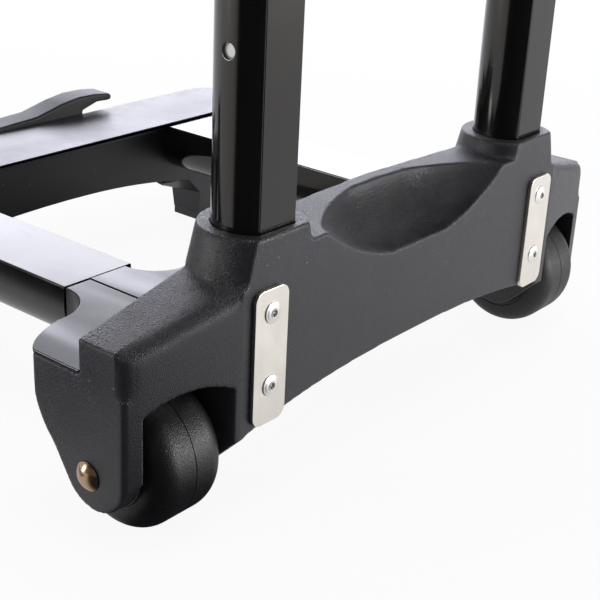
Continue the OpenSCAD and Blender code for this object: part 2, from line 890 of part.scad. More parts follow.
module cord_hook() {
    color(gloss_black) difference() {
        both_sides() along_y(cross_front, hook_front) hook_half_view();
        both_sides() hook_screw_places() cylinder(h = hook_d + 2, r = screw_r);
        both_sides() translate([hook_screw_x, hook_front - 3, hook_screw_z]) rotate([-90, 0, 0])
            cylinder(h = 10, r = screw_head_r + fit);
    }
}

module hook_screw_places() {
    translate([hook_screw_x, hook_front + 1, hook_screw_z]) rotate([90, 0, 0]) children();
}

module hook_screws() {
    color(steel) both_sides() {
        translate([hook_screw_x, cross_front - cross_wall - 4, hook_screw_z]) rotate([-90, 0, 0])
            cylinder(h = hook_d + cross_wall + 1, r = screw_r);
        translate([hook_screw_x, hook_front - 3, hook_screw_z]) rotate([-90, 0, 0])
            cylinder(h = screw_head_h, r = screw_head_r);
    }
}

// Brace at the top of the lower tubes
module brace_half() {
    difference() {
        union() {
            translate([upright_x, upright_y, brace_foot]) linear_extrude(brace_h)
                d_section(lower_r + brace_wall, lower_flat + brace_wall);
            translate([0, upright_y - 9, brace_foot + 6]) cube([upright_x, 18, brace_h - 12]);
        }
        translate([upright_x, upright_y, brace_foot - 1]) linear_extrude(lower_top_z - brace_foot + 1)
            d_section(lower_r, lower_flat);
        translate([upright_x, upright_y, brace_foot]) linear_extrude(brace_h + 1)
            d_section(upper_r + fit, upper_flat + fit);
        translate([upright_x, upright_y, lower_top_z - 1]) linear_extrude(3) d_section(lower_r, lower_flat);
        for (y = [-10, 5]) translate([0, upright_y + y, brace_foot + 10])
            cube([upright_x - lower_r - 14, 5, brace_h - 20]);
        brace_screw_places() cylinder(h = 20, r = screw_r);
    }
}

module upper_brace() {
    color(gloss_black) both_sides() brace_half();
}

module brace_screw_places() {
    translate([upright_x, flat_setback - brace_wall - 1, brace_foot + 9]) rotate([-90, 0, 0]) children();
}

module brace_screws() {
    color(steel) both_sides() translate([upright_x, flat_setback - brace_wall, brace_foot + 9])
        rotate([-90, 0, 0]) {
        cylinder(h = brace_wall + lower_wall - 0.2, r = screw_r);
        translate([0, 0, -1.6]) cylinder(h = 1.6, r = screw_head_r);
    }
}

// Nylon liners between the lower and the upper tubes
module guide_bushes() {
    liner_l = 18;
    color(nylon_white) both_sides() translate([upright_x, upright_y, 0]) difference() {
        union() {
            translate([0, 0, lower_top_z - liner_l]) linear_extrude(liner_l)
                d_section(lower_r - lower_wall, lower_flat - lower_wall);
            translate([0, 0, lower_top_z]) linear_extrude(2) d_section(lower_r, lower_flat);
        }
        translate([0, 0, lower_top_z - liner_l - 1]) linear_extrude(liner_l + 4)
            d_section(upper_r + fit, upper_flat + fit);
    }
}

// Sliding stage
module upper_tube() {
    difference() {
        d_tube(upper_r, upper_flat, upper_wall, upper_foot_z, tube_top);
        tube_screw_places() cylinder(h = 14, r = screw_r);
    }
}

module right_upper_tube() {
    color(anodised) upper_tube();
}

module left_upper_tube() {
    color(anodised) mirror([1, 0, 0]) upper_tube();
}

// Sizes of the lock: a slider with a window, moved inwards by a rod's wedge
slider_half = 4;
slider_in = -6;
pocket_in = -12.5;
window_in = -4;
window_out = 2;
window_half = 2.3;
nose_end = lower_r - lower_wall - fit;
glide_foot_z = lock_z - 14;

module glide() {
    difference() {
        translate([upright_x, upright_y, 0]) union() {
            translate([0, 0, glide_foot_z]) linear_extrude(upper_foot_z - glide_foot_z)
                d_section(lower_r - lower_wall - fit, lower_flat - lower_wall - fit);
            translate([0, 0, upper_foot_z]) linear_extrude(18)
                d_section(upper_r - upper_wall, upper_flat - upper_wall);
        }
        translate([upright_x, upright_y, lock_z]) {
            rotate([0, 90, 0]) cylinder(h = lower_r, r = lock_pin_r + run_gap);
            translate([pocket_in, -slider_half - 0.1, -20])
                cube([slider_half + 0.3 - pocket_in, 2 * slider_half + 0.2, 20 + slider_half + 0.1]);
            translate([-8.5, -window_half, 0]) cube([8.3, 2 * window_half, 60]);
        }
    }
}

module right_glide() {
    color(nylon_white) glide();
}

module left_glide() {
    color(nylon_white) mirror([1, 0, 0]) glide();
}

module lock_pin() {
    translate([upright_x, upright_y, lock_z]) difference() {
        union() {
            rotate([0, 90, 0]) cylinder(h = nose_end, r = lock_pin_r);
            translate([slider_in, -slider_half, -slider_half])
                cube([slider_half - slider_in, 2 * slider_half, 2 * slider_half]);
        }
        translate([window_in, -window_half, -slider_half - 1])
            cube([window_out - window_in, 2 * window_half, 2 * slider_half + 2]);
    }
}

module right_lock_pin() {
    color(nylon_white) lock_pin();
}

module left_lock_pin() {
    color(nylon_white) mirror([1, 0, 0]) lock_pin();
}

module lock_spring() {
    translate([upright_x + pocket_in, upright_y, lock_z]) rotate([0, 90, 0]) difference() {
        cylinder(h = slider_in - pocket_in, r = 2.6);
        translate([0, 0, -1]) cylinder(h = slider_in - pocket_in + 2, r = 1.9);
    }
}

module right_lock_spring() {
    color(steel) lock_spring();
}

module left_lock_spring() {
    color(steel) mirror([1, 0, 0]) lock_spring();
}

rod_x = upright_x - 3.6;

// Rods, their wedges and the yoke that the button pushes down
module release_rods() {
    wedge_slope = lock_travel / button_travel;
    wedge_foot = slider_half + 0.6;
    wedge_h = 9;
    color(steel) {
        both_sides() {
            translate([rod_x, upright_y, lock_z + wedge_foot + wedge_h])
                cylinder(h = yoke_z - lock_z - wedge_foot - wedge_h, r = rod_r);
            translate([upright_x, upright_y, lock_z + wedge_foot]) along_y(-1.9, 1.9)
                polygon([[window_in + 0.3, 0], [-1.5, 0], [-1.5, wedge_h],
                    [window_in + 0.3 - wedge_slope * 5.5, wedge_h],
                [window_in + 0.3 - wedge_slope * 5.5, 5.5]]);
        }
        translate([-rod_x - 4, upright_y - 4, yoke_z]) cube([2 * rod_x + 8, 8, 5]);
    }
}

// Grip: a bar over two end blocks, in a rear and a front shell
block_r = upper_r + 4.4;
block_flat = upper_flat + 4.4;
grip_end = upright_x + block_r;
grip_y0 = upright_y - grip_d / 2;

module grip_bar_view(inset) {
    r = 9 - inset;
    difference() {
        translate([0, bar_foot + inset]) square([grip_end - inset, grip_h - 2 * inset]);
        translate([grip_end - inset - r, grip_top - inset - r]) difference() {
            square(r + 1);
            circle(r = r);
        }
    }
}

module grip_section(inset) {
    r = 10 - inset;
    d = grip_d - 2 * inset;
    h = grip_h - 2 * inset;
    translate([grip_y0 + inset, bar_foot + inset]) difference() {
        square([d, h]);
        for (sy = [0, 1]) for (sz = [0, 1]) translate([sy ? d - r : r, sz ? h - r : r]) difference() {
            translate([sy ? 0 : -r - 1, sz ? 0 : -r - 1]) square(r + 1);
            circle(r = r);
        }
    }
}

module grip_half() {
    difference() {
        union() {
            intersection() {
                along_y(grip_y0, grip_y0 + grip_d) grip_bar_view(0);
                along_x(0, grip_end) grip_section(0);
            }
            translate([upright_x, upright_y, brace_top]) linear_extrude(bar_foot + 10 - brace_top)
                d_section(block_r, block_flat);
        }
        intersection() {
            along_y(grip_y0, grip_y0 + grip_d) grip_bar_view(grip_wall);
            along_x(-1, grip_end) grip_section(grip_wall);
        }
        translate([upright_x, upright_y, brace_top - 1]) linear_extrude(tube_top - brace_top + 1)
            d_section(upper_r, upper_flat);
        translate([-overcut, upright_y - 6.3, grip_top - grip_wall - 1])
            cube([button_l / 2 + 0.3 + overcut, 12.6, grip_wall + 2]);
        tube_screw_places() cylinder(h = 20, r = screw_r);
        grip_screw_places() cylinder(h = grip_d + 2, r = 1.6);
    }
    // Screw posts inside the bar
    difference() {
        translate([grip_screw_x, grip_y0 + 1, grip_screw_z]) rotate([-90, 0, 0])
            cylinder(h = grip_d - 2, r = 3);
        grip_screw_places() cylinder(h = grip_d + 2, r = 1.6);
    }
}

grip_screw_x = 62;
grip_screw_z = grip_top - grip_wall - 3.4;
tube_screw_z = brace_top + grip_h / 2 + 2;

module grip_screw_places() {
    translate([grip_screw_x, grip_y0 - 1, grip_screw_z]) rotate([-90, 0, 0]) children();
}

module tube_screw_places() {
    translate([upright_x, upright_y - block_flat - 1, tube_screw_z]) rotate([-90, 0, 0]) children();
}

module grip_rear() {
    color(rubber_black) intersection() {
        both_sides() grip_half();
        translate([-base_w, upright_y - 100, 0]) cube([2 * base_w, 100, 2000]);
    }
}

module grip_front() {
    color(rubber_black) intersection() {
        both_sides() grip_half();
        translate([-base_w, upright_y, 0]) cube([2 * base_w, 100, 2000]);
    }
}

module grip_screws() {
    color(steel) both_sides() translate([grip_screw_x, grip_y0, grip_screw_z]) rotate([-90, 0, 0]) {
        translate([0, 0, 1.5]) cylinder(h = grip_d - 8, r = 1.6);
    }
}

module tube_screws() {
    color(steel) both_sides() translate([upright_x, upright_y - block_flat, tube_screw_z])
        rotate([-90, 0, 0]) {
        cylinder(h = 6.5, r = screw_r);
        translate([0, 0, -1.4]) cylinder(h = 1.4, r = screw_head_r);
    }
}

module release_button() {
    stem_z = yoke_z + 5;
    color(gloss_black) union() {
        translate([-button_l / 2, upright_y - 6, grip_top - grip_wall - 3])
            cube([button_l, 12, grip_wall + 3 + button_travel + 0.5]);
        translate([-button_l / 2 - 3, upright_y - 7.5, grip_top - grip_wall - 3])
            cube([button_l + 6, 15, 2.7]);
        translate([-10, upright_y - 4, stem_z]) cube([20, 8, grip_top - grip_wall - 3 - stem_z]);
    }
}

module button_spring() {
    foot = bar_foot + grip_wall;
    color(steel) translate([0, upright_y, foot]) difference() {
        cylinder(h = yoke_z - foot, r = 4.5);
        translate([0, 0, -1]) cylinder(h = yoke_z - foot + 2, r = 3.5);
    }
}

place() rear_housing();
place() front_deck();
place() left_lower_tube();
place() right_lower_tube();
place() left_fixing_plate();
place() right_fixing_plate();
place() plate_rivets();
place() left_axle();
place() right_axle();
place() axle_clips();
place() deck_screws();
place() left_hinge_pin();
place() right_hinge_pin();
place() upper_brace();
place() brace_screws();
place() guide_bushes();
place() left_tyre();
place() left_hub();
place() left_bush();
place() right_tyre();
place() right_hub();
place() right_bush();
place() hinge_bar();
place() left_arm();
place() right_arm();
place() crosspiece();
place() crosspiece_cover();
place() cord_hook();
place() hook_screws();
place() arm_screws();
place() cover_screws();
place() left_foot();
place() right_foot();
place() left_upper_tube();
place() right_upper_tube();
place() left_glide();
place() right_glide();
place() grip_rear();
place() grip_front();
place() grip_screws();
place() tube_screws();
place() button_spring();
place() release_button();
place() release_rods();
place() left_lock_pin();
place() right_lock_pin();
place() left_lock_spring();
place() right_lock_spring();
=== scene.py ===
import json
import math

import bmesh
import bpy
from mathutils import Matrix, Vector


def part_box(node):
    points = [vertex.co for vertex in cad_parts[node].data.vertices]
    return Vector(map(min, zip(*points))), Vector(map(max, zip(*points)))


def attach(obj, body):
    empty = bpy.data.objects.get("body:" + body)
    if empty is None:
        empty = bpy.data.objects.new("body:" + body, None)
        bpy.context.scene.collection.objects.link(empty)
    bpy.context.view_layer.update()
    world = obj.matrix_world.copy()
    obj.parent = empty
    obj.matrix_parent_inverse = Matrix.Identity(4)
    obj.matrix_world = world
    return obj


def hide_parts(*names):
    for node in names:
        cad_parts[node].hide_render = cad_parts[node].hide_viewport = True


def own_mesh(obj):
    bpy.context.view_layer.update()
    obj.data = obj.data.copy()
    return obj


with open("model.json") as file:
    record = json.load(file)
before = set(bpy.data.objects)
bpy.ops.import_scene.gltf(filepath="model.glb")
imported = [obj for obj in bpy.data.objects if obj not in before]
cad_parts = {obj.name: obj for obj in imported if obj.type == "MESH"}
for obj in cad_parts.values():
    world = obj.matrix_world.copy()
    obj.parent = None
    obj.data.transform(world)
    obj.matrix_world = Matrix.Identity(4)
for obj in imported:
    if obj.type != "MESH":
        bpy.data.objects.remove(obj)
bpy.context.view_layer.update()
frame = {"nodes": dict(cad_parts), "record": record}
record = frame["record"]
slotOf = {part["node"]: part["material_slot"] for part in record["subparts"]}
bodyOf = {node: body for body, nodes in record["behaviour"]["bodies"].items() for node in nodes}
print("frame loaded:", len(frame["nodes"]), "nodes")

mm = 0.001
midDepth = 157.2585  # depths below are counted from the back face of the base
xAxis, yAxis, zAxis = (Vector(axis) for axis in ((1, 0, 0), (0, 1, 0), (0, 0, 1)))


def at(x, y, z):
    return Vector((x, y - midDepth, z)) * mm


def paint(red, green, blue):
    # screen values 0 to 255 to the shader's linear colour
    def linear(value):
        value = value / 255
        return value / 12.92 if value <= 0.04045 else ((value + 0.055) / 1.055) ** 2.4
    return (linear(red), linear(green), linear(blue), 1.0)


def scaled(colour, factor):
    return tuple(factor * part for part in colour[:3]) + (1.0,)


# node groups that several finishes share

def newGroup(name, inputs, outputs):
    group = bpy.data.node_groups.new(name, "ShaderNodeTree")
    for socketName, kind, value in inputs:
        socket = group.interface.new_socket(name=socketName, in_out="INPUT", socket_type=kind)
        if value is not None:
            socket.default_value = value
    for socketName in outputs:
        group.interface.new_socket(name=socketName, in_out="OUTPUT", socket_type="NodeSocketFloat")
    return group, group.nodes.new("NodeGroupInput"), group.nodes.new("NodeGroupOutput")


def addNode(tree, kind, values=(), **settings):
    node = tree.nodes.new(kind)
    for key, value in settings.items():
        setattr(node, key, value)
    for socket, value in dict(values).items():
        node.inputs[socket].default_value = value
    return node


def feed(tree, socket, value):
    # a plain number is set on the socket, anything else is linked to it
    if isinstance(value, (int, float)):
        socket.default_value = value
    else:
        tree.links.new(value, socket)


def mathNode(tree, operation, first, second, clamp=False):
    node = addNode(tree, "ShaderNodeMath", operation=operation, use_clamp=clamp)
    feed(tree, node.inputs[0], first)
    feed(tree, node.inputs[1], second)
    return node.outputs[0]


def rangeNode(tree, value, low, high, newLow=0.0, newHigh=1.0):
    node = addNode(tree, "ShaderNodeMapRange", interpolation_type="SMOOTHSTEP")
    tree.links.new(value, node.inputs["Value"])
    for socket, number in (("From Min", low), ("From Max", high), ("To Min", newLow), ("To Max", newHigh)):
        feed(tree, node.inputs[socket], number)
    return node.outputs["Result"]


def makeGrain():
    # moulded grain: small cells with rounded tops, broken up by noise
    group, given, result = newGroup(
        "mouldedGrain",
        [("Vector", "NodeSocketVector", None), ("Size", "NodeSocketFloat", 0.5),
         ("Patchiness", "NodeSocketFloat", 0.3)],
        ["Height", "Pits"])
    links = group.links
    scale = mathNode(group, "DIVIDE", 1 / mm, given.outputs["Size"])
    cells = addNode(group, "ShaderNodeTexVoronoi", {"Randomness": 1.0}, feature="SMOOTH_F1",
                    voronoi_dimensions="3D")
    cells.inputs["Smoothness"].default_value = 0.6
    fine = addNode(group, "ShaderNodeTexNoise", {"Detail": 3.0, "Roughness": 0.6})
    broad = addNode(group, "ShaderNodeTexNoise", {"Scale": 70.0, "Detail": 2.0})
    for texture in (cells, fine, broad):
        links.new(given.outputs["Vector"], texture.inputs["Vector"])
    links.new(scale, cells.inputs["Scale"])
    fineScale, cellShare, fineShare = 0.7, 0.65, 0.35
    links.new(mathNode(group, "MULTIPLY", scale, fineScale), fine.inputs["Scale"])
    domes = rangeNode(group, cells.outputs["Distance"], low=0.05, high=0.75, newLow=1.0, newHigh=0.0)
    cellPart = mathNode(group, "MULTIPLY", domes, cellShare)
    finePart = mathNode(group, "MULTIPLY", fine.outputs["Fac"], fineShare)
    mixed = mathNode(group, "ADD", cellPart, finePart)
    patches = rangeNode(group, broad.outputs["Fac"], low=0.3, high=0.7)
    faded = mathNode(group, "MULTIPLY", patches, given.outputs["Patchiness"])
    weaker = mathNode(group, "SUBTRACT", 1.0, faded)
    links.new(mathNode(group, "MULTIPLY", mixed, weaker), result.inputs["Height"])
    pits = rangeNode(group, mixed, low=0.25, high=0.6, newLow=1.0, newHigh=0.0)
    links.new(pits, result.inputs["Pits"])
    return group


def makeEdgeWearAndHighlight():
    # mask of rubbed edges, which also paints a highlight along them: where a rounded normal leaves the true
    # one
    group, given, result = newGroup(
        "edgeWearAndHighlight",
        [("Vector", "NodeSocketVector", None), ("Radius", "NodeSocketFloat", 0.001),
         ("Amount", "NodeSocketFloat", 0.5)],
        ["Mask"])
    links = group.links
    rounded = addNode(group, "ShaderNodeBevel", samples=6)
    links.new(given.outputs["Radius"], rounded.inputs["Radius"])
    geometry = group.nodes.new("ShaderNodeNewGeometry")
    dot = addNode(group, "ShaderNodeVectorMath", operation="DOT_PRODUCT")
    links.new(rounded.outputs["Normal"], dot.inputs[0])
    links.new(geometry.outputs["Normal"], dot.inputs[1])
    bend = rangeNode(group, dot.outputs["Value"], low=0.99, high=0.80)
    noise = addNode(group, "ShaderNodeTexNoise", {"Scale": 220.0, "Detail": 5.0, "Roughness": 0.7})
    links.new(given.outputs["Vector"], noise.inputs["Vector"])
    broken = rangeNode(group, noise.outputs["Fac"], low=0.42, high=0.68)
    rubbedAndLit = mathNode(group, "MULTIPLY", bend, broken)
    links.new(mathNode(group, "MULTIPLY", rubbedAndLit, given.outputs["Amount"], clamp=True), result.inputs["Mask"])
    return group


def makeDust():
    # fine dust that settles on what faces up, with a few specks anywhere
    group, given, result = newGroup(
        "settledDust",
        [("Vector", "NodeSocketVector", None), ("Amount", "NodeSocketFloat", 0.3),
         ("Specks", "NodeSocketFloat", 0.3)],
        ["Mask"])
    links = group.links
    geometry = group.nodes.new("ShaderNodeNewGeometry")
    split = group.nodes.new("ShaderNodeSeparateXYZ")
    links.new(geometry.outputs["Normal"], split.inputs[0])
    facing = rangeNode(group, split.outputs["Z"], low=0.35, high=1.0)
    film = addNode(group, "ShaderNodeTexNoise", {"Scale": 45.0, "Detail": 6.0, "Roughness": 0.65})
    speck = addNode(group, "ShaderNodeTexVoronoi", {"Scale": 160.0})
    for texture in (film, speck):
        links.new(given.outputs["Vector"], texture.inputs["Vector"])
    patchy = rangeNode(group, film.outputs["Fac"], low=0.35, high=0.75)
    dots = rangeNode(group, speck.outputs["Distance"], low=0.09, high=0.05)
    sparse = addNode(group, "ShaderNodeSeparateColor")
    links.new(speck.outputs["Color"], sparse.inputs[0])
    cellsWithout = 0.80
    few = mathNode(group, "GREATER_THAN", sparse.outputs[0], cellsWithout)
    settled = mathNode(group, "MULTIPLY", facing, patchy)
    onTop = mathNode(group, "MULTIPLY", settled, given.outputs["Amount"])
    scattered = mathNode(group, "MULTIPLY", dots, few)
    loose = mathNode(group, "MULTIPLY", scattered, given.outputs["Specks"])
    links.new(mathNode(group, "ADD", onTop, loose, clamp=True), result.inputs["Mask"])
    return group


def makeScratches():
    # hairline scratches: two stretched noises that cross each other
    group, given, result = newGroup(
        "hairlines",
        [("Vector", "NodeSocketVector", None), ("Scale", "NodeSocketFloat", 60.0),
         ("Amount", "NodeSocketFloat", 0.3)],
        ["Mask"])
    links = group.links
    masks = []
    for turn, stretch in ((0.5, (1.0, 14.0, 14.0)), (-0.9, (14.0, 1.0, 9.0))):
        mapping = addNode(group, "ShaderNodeMapping")
        mapping.inputs["Rotation"].default_value = (turn, turn * 0.6, turn)
        mapping.inputs["Scale"].default_value = stretch
        noise = addNode(group, "ShaderNodeTexNoise", {"Detail": 2.0, "Roughness": 0.5})
        links.new(given.outputs["Vector"], mapping.inputs["Vector"])
        links.new(mapping.outputs["Vector"], noise.inputs["Vector"])
        links.new(given.outputs["Scale"], noise.inputs["Scale"])
        masks.append(rangeNode(group, noise.outputs["Fac"], low=0.68, high=0.74))
    both = mathNode(group, "MAXIMUM", masks[0], masks[1])
    links.new(mathNode(group, "MULTIPLY", both, given.outputs["Amount"]), result.inputs["Mask"])
    return group


def makeBrushing():
    # long fine lines along one axis, from a stretched noise
    group, given, result = newGroup(
        "brushing",
        [("Vector", "NodeSocketVector", None), ("Scale", "NodeSocketFloat", 900.0),
         ("Stretch", "NodeSocketVector", (1.0, 1.0, 0.02))],
        ["Height", "Streaks"])
    links = group.links
    stretch = addNode(group, "ShaderNodeVectorMath", operation="MULTIPLY")
    links.new(given.outputs["Vector"], stretch.inputs[0])
    links.new(given.outputs["Stretch"], stretch.inputs[1])
    fine = addNode(group, "ShaderNodeTexNoise", {"Detail": 4.0, "Roughness": 0.7})
    broad = addNode(group, "ShaderNodeTexNoise", {"Detail": 2.0})
    fineScale, broadScale = 1.0, 0.16
    for texture, part in ((fine, fineScale), (broad, broadScale)):
        links.new(stretch.outputs[0], texture.inputs["Vector"])
        links.new(mathNode(group, "MULTIPLY", given.outputs["Scale"], part), texture.inputs["Scale"])
    links.new(fine.outputs["Fac"], result.inputs["Height"])
    links.new(rangeNode(group, broad.outputs["Fac"], low=0.3, high=0.7), result.inputs["Streaks"])
    return group


groups = {
    "grain": makeGrain(), "wearAndHighlight": makeEdgeWearAndHighlight(), "dust": makeDust(),
    "scratches": makeScratches(), "brushing": makeBrushing()}
print("node groups:", ", ".join(groups))


class Finish:
    # one material under construction: a Principled shader and the chains that feed it

    def __init__(self, name, baseColor, roughness, **sockets):
        self.material = bpy.data.materials.new(name)
        self.material.use_nodes = True
        self.tree = self.material.node_tree
        self.shader = self.tree.nodes["Principled BSDF"]
        self.shader.inputs["Base Color"].default_value = baseColor
        self.shader.inputs["Roughness"].default_value = roughness
        self.material.diffuse_color = baseColor
        for socket, value in sockets.items():
            self.shader.inputs[socket.replace("_", " ")].default_value = value
        coordinates = self.tree.nodes.new("ShaderNodeTexCoord")
        self.place = coordinates.outputs["Object"]
        self.colour = None
        self.roughness = None
        self.normal = None

    def group(self, name, **values):
        node = self.tree.nodes.new("ShaderNodeGroup")
        node.node_tree = groups[name]
        self.tree.links.new(self.place, node.inputs["Vector"])
        for socket, value in values.items():
            node.inputs[socket].default_value = value
        return node

    def noise(self, scale, detail=4.0, roughness=0.6, low=0.3, high=0.7, stretch=None):
        texture = addNode(self.tree, "ShaderNodeTexNoise",
                          {"Scale": scale, "Detail": detail, "Roughness": roughness})
        source = self.place
        if stretch is not None:
            mapping = addNode(self.tree, "ShaderNodeMapping", {"Scale": stretch})
            self.tree.links.new(self.place, mapping.inputs["Vector"])
            source = mapping.outputs["Vector"]
        self.tree.links.new(source, texture.inputs["Vector"])
        return rangeNode(self.tree, texture.outputs["Fac"], low, high)

    def tint(self, mask, colour, amount=1.0):
        # lays a colour over the base where the mask is 1
        mix = addNode(self.tree, "ShaderNodeMix", data_type="RGBA")
        under, over = mix.inputs[6], mix.inputs[7]
        self.tree.links.new(mathNode(self.tree, "MULTIPLY", mask, amount, clamp=True), mix.inputs["Factor"])
        if self.colour is None:
            under.default_value = self.shader.inputs["Base Color"].default_value
        else:
            self.tree.links.new(self.colour, under)
        over.default_value = colour
        self.colour = mix.outputs[2]

    def dull(self, mask, amount):
        # adds to the roughness where the mask is 1
        start = self.roughness
        if start is None:
            start = self.shader.inputs["Roughness"].default_value
        more = mathNode(self.tree, "MULTIPLY", mask, amount)
        self.roughness = mathNode(self.tree, "ADD", more, start, clamp=True)

    def bump(self, height, distance, strength=1.0):
        node = addNode(self.tree, "ShaderNodeBump", {"Strength": strength, "Distance": distance})
        self.tree.links.new(height, node.inputs["Height"])
        if self.normal is not None:
            self.tree.links.new(self.normal, node.inputs["Normal"])
        self.normal = node.outputs["Normal"]

    def done(self):
        for source, socket in ((self.colour, "Base Color"), (self.roughness, "Roughness"),
                               (self.normal, "Normal")):
            if source is not None:
                self.tree.links.new(source, self.shader.inputs[socket])
        return self.material


dustOn = {"grained": paint(150, 149, 156), "glossy": paint(150, 150, 158), "rubber": paint(140, 138, 136)}
# colours of rubbed edges, which also paint a highlight along them
wearAndHighlightOn = {"plastic": paint(128, 127, 132), "tube": paint(130, 128, 125)}


def grainedPlastic(name, colour, roughness, size, depth, wearAndHighlight, dust):
    finish = Finish(name, colour, roughness, IOR=1.5)
    grain = finish.group("grain", Size=size, Patchiness=0.25)
    # the grain's pits painted darker: painted shade in the hollows
    finish.tint(grain.outputs["Pits"], scaled(colour, 0.7), amount=0.4)
    cloudy = finish.noise(scale=28.0, detail=5.0, roughness=0.6)
    finish.tint(cloudy, scaled(colour, 1.25), amount=0.12)
    finish.dull(cloudy, amount=0.07)
    finish.dull(grain.outputs["Pits"], amount=0.12)
    # edges painted lighter: rubbed wear, and a painted highlight along the rims
    rubbedAndLit = finish.group("wearAndHighlight", Radius=0.0013, Amount=wearAndHighlight)
    finish.tint(rubbedAndLit.outputs["Mask"], wearAndHighlightOn["plastic"])
    dusty = finish.group("dust", Amount=dust, Specks=0.35)
    finish.tint(dusty.outputs["Mask"], dustOn["grained"])
    finish.dull(dusty.outputs["Mask"], amount=0.15)
    waves = finish.noise(scale=90.0, detail=3.0, roughness=0.5, low=0.2, high=0.8)
    finish.bump(waves, distance=0.00008, strength=0.5)
    # the grain stands out on what looks up, and is worn flat on the sides
    geometry = finish.tree.nodes.new("ShaderNodeNewGeometry")
    split = finish.tree.nodes.new("ShaderNodeSeparateXYZ")
    finish.tree.links.new(geometry.outputs["Normal"], split.inputs[0])
    depthShare = rangeNode(finish.tree, split.outputs["Z"], low=0.05, high=0.55, newLow=0.15, newHigh=1.0)
    finish.bump(mathNode(finish.tree, "MULTIPLY", grain.outputs["Height"], depthShare), depth)
    return finish.done()


def satinPlastic(name, colour, roughness):
    finish = Finish(name, colour, roughness, IOR=1.5, Specular_IOR_Level=0.42)
    spark = finish.group("grain", Size=0.35, Patchiness=0.1)
    finish.dull(finish.noise(scale=30.0), amount=0.06)
    finish.dull(finish.group("scratches", Scale=55.0, Amount=0.3).outputs["Mask"], amount=0.15)
    dusty = finish.group("dust", Amount=0.08, Specks=0.25)
    finish.tint(dusty.outputs["Mask"], dustOn["glossy"])
    finish.bump(spark.outputs["Height"], distance=0.00003)
    return finish.done()


def polishedPlastic(name, colour, roughness, waviness):
    finish = Finish(name, colour, roughness, IOR=1.5, Specular_IOR_Level=0.42)
    scratches = finish.group("scratches", Scale=55.0, Amount=0.35)
    dusty = finish.group("dust", Amount=0.10, Specks=0.25)
    finish.tint(dusty.outputs["Mask"], dustOn["glossy"])
    finish.dull(dusty.outputs["Mask"], amount=0.25)
    finish.dull(scratches.outputs["Mask"], amount=0.25)
    finish.dull(finish.noise(scale=35.0), amount=0.06)
    streaks = finish.noise(scale=10.0, detail=1.5, roughness=0.4, low=0.2, high=0.8, stretch=(2.2, 0.5, 1.0))
    finish.dull(streaks, amount=0.05)
    finish.bump(streaks, waviness, strength=0.5)
    return finish.done()


def tubeFinish(name, colour, roughness):
    # black anodised tube, with draw lines along its length
    finish = Finish(name, colour, roughness, IOR=1.56, Specular_Tint=(1.0, 0.95, 0.89, 1.0))
    drawn = finish.group("brushing", Scale=700.0, Stretch=(1.0, 1.0, 0.01))
    finish.tint(drawn.outputs["Streaks"], scaled(colour, 2.0), amount=0.5)
    scratches = finish.group("scratches", Scale=40.0, Amount=0.3)
    finish.dull(scratches.outputs["Mask"], amount=0.3)
    finish.dull(finish.noise(scale=30.0), amount=0.05)
    # edges painted lighter: rubbed wear, and a painted highlight along the corners
    rubbedAndLit = finish.group("wearAndHighlight", Radius=0.0008, Amount=0.6)
    finish.tint(rubbedAndLit.outputs["Mask"], wearAndHighlightOn["tube"])
    finish.bump(drawn.outputs["Height"], distance=0.000014)
    return finish.done()


def brushedMetal(name, colour, roughness, stretch, lines, depth):
    finish = Finish(name, colour, roughness, Metallic=1.0)
    brushed = finish.group("brushing", Scale=lines, Stretch=stretch)
    finish.tint(brushed.outputs["Streaks"], scaled(colour, 0.86), amount=0.3)
    smudged = finish.noise(scale=60.0, low=0.45, high=0.75)
    finish.tint(smudged, scaled(colour, 0.86), amount=0.25)
    finish.dull(smudged, amount=0.10)
    finish.dull(finish.group("scratches", Scale=80.0, Amount=0.3).outputs["Mask"], amount=0.2)
    finish.bump(brushed.outputs["Height"], depth)
    return finish.done()


def rubberFinish(name, colour, roughness, size, depth):
    finish = Finish(name, colour, roughness, IOR=1.5)
    grain = finish.group("grain", Size=size, Patchiness=0.4)
    # the grain's pits painted darker: painted shade in the hollows
    finish.tint(grain.outputs["Pits"], scaled(colour, 0.6), amount=0.4)
    scuffed = finish.noise(scale=18.0, detail=6.0, roughness=0.65, low=0.45, high=0.8)
    finish.tint(scuffed, scaled(colour, 1.9), amount=0.35)
    finish.dull(scuffed, amount=0.10)
    dusty = finish.group("dust", Amount=0.2, Specks=0.4)
    finish.tint(dusty.outputs["Mask"], dustOn["rubber"])
    finish.bump(grain.outputs["Height"], depth)
    return finish.done()


def nylonFinish(name, colour):
    finish = Finish(name, colour, 0.45, IOR=1.53)
    finish.tint(finish.noise(scale=40.0), scaled(colour, 0.86), amount=0.25)
    finish.dull(finish.noise(scale=90.0), amount=0.1)
    finish.bump(finish.noise(scale=350.0), distance=0.00002)
    return finish.done()


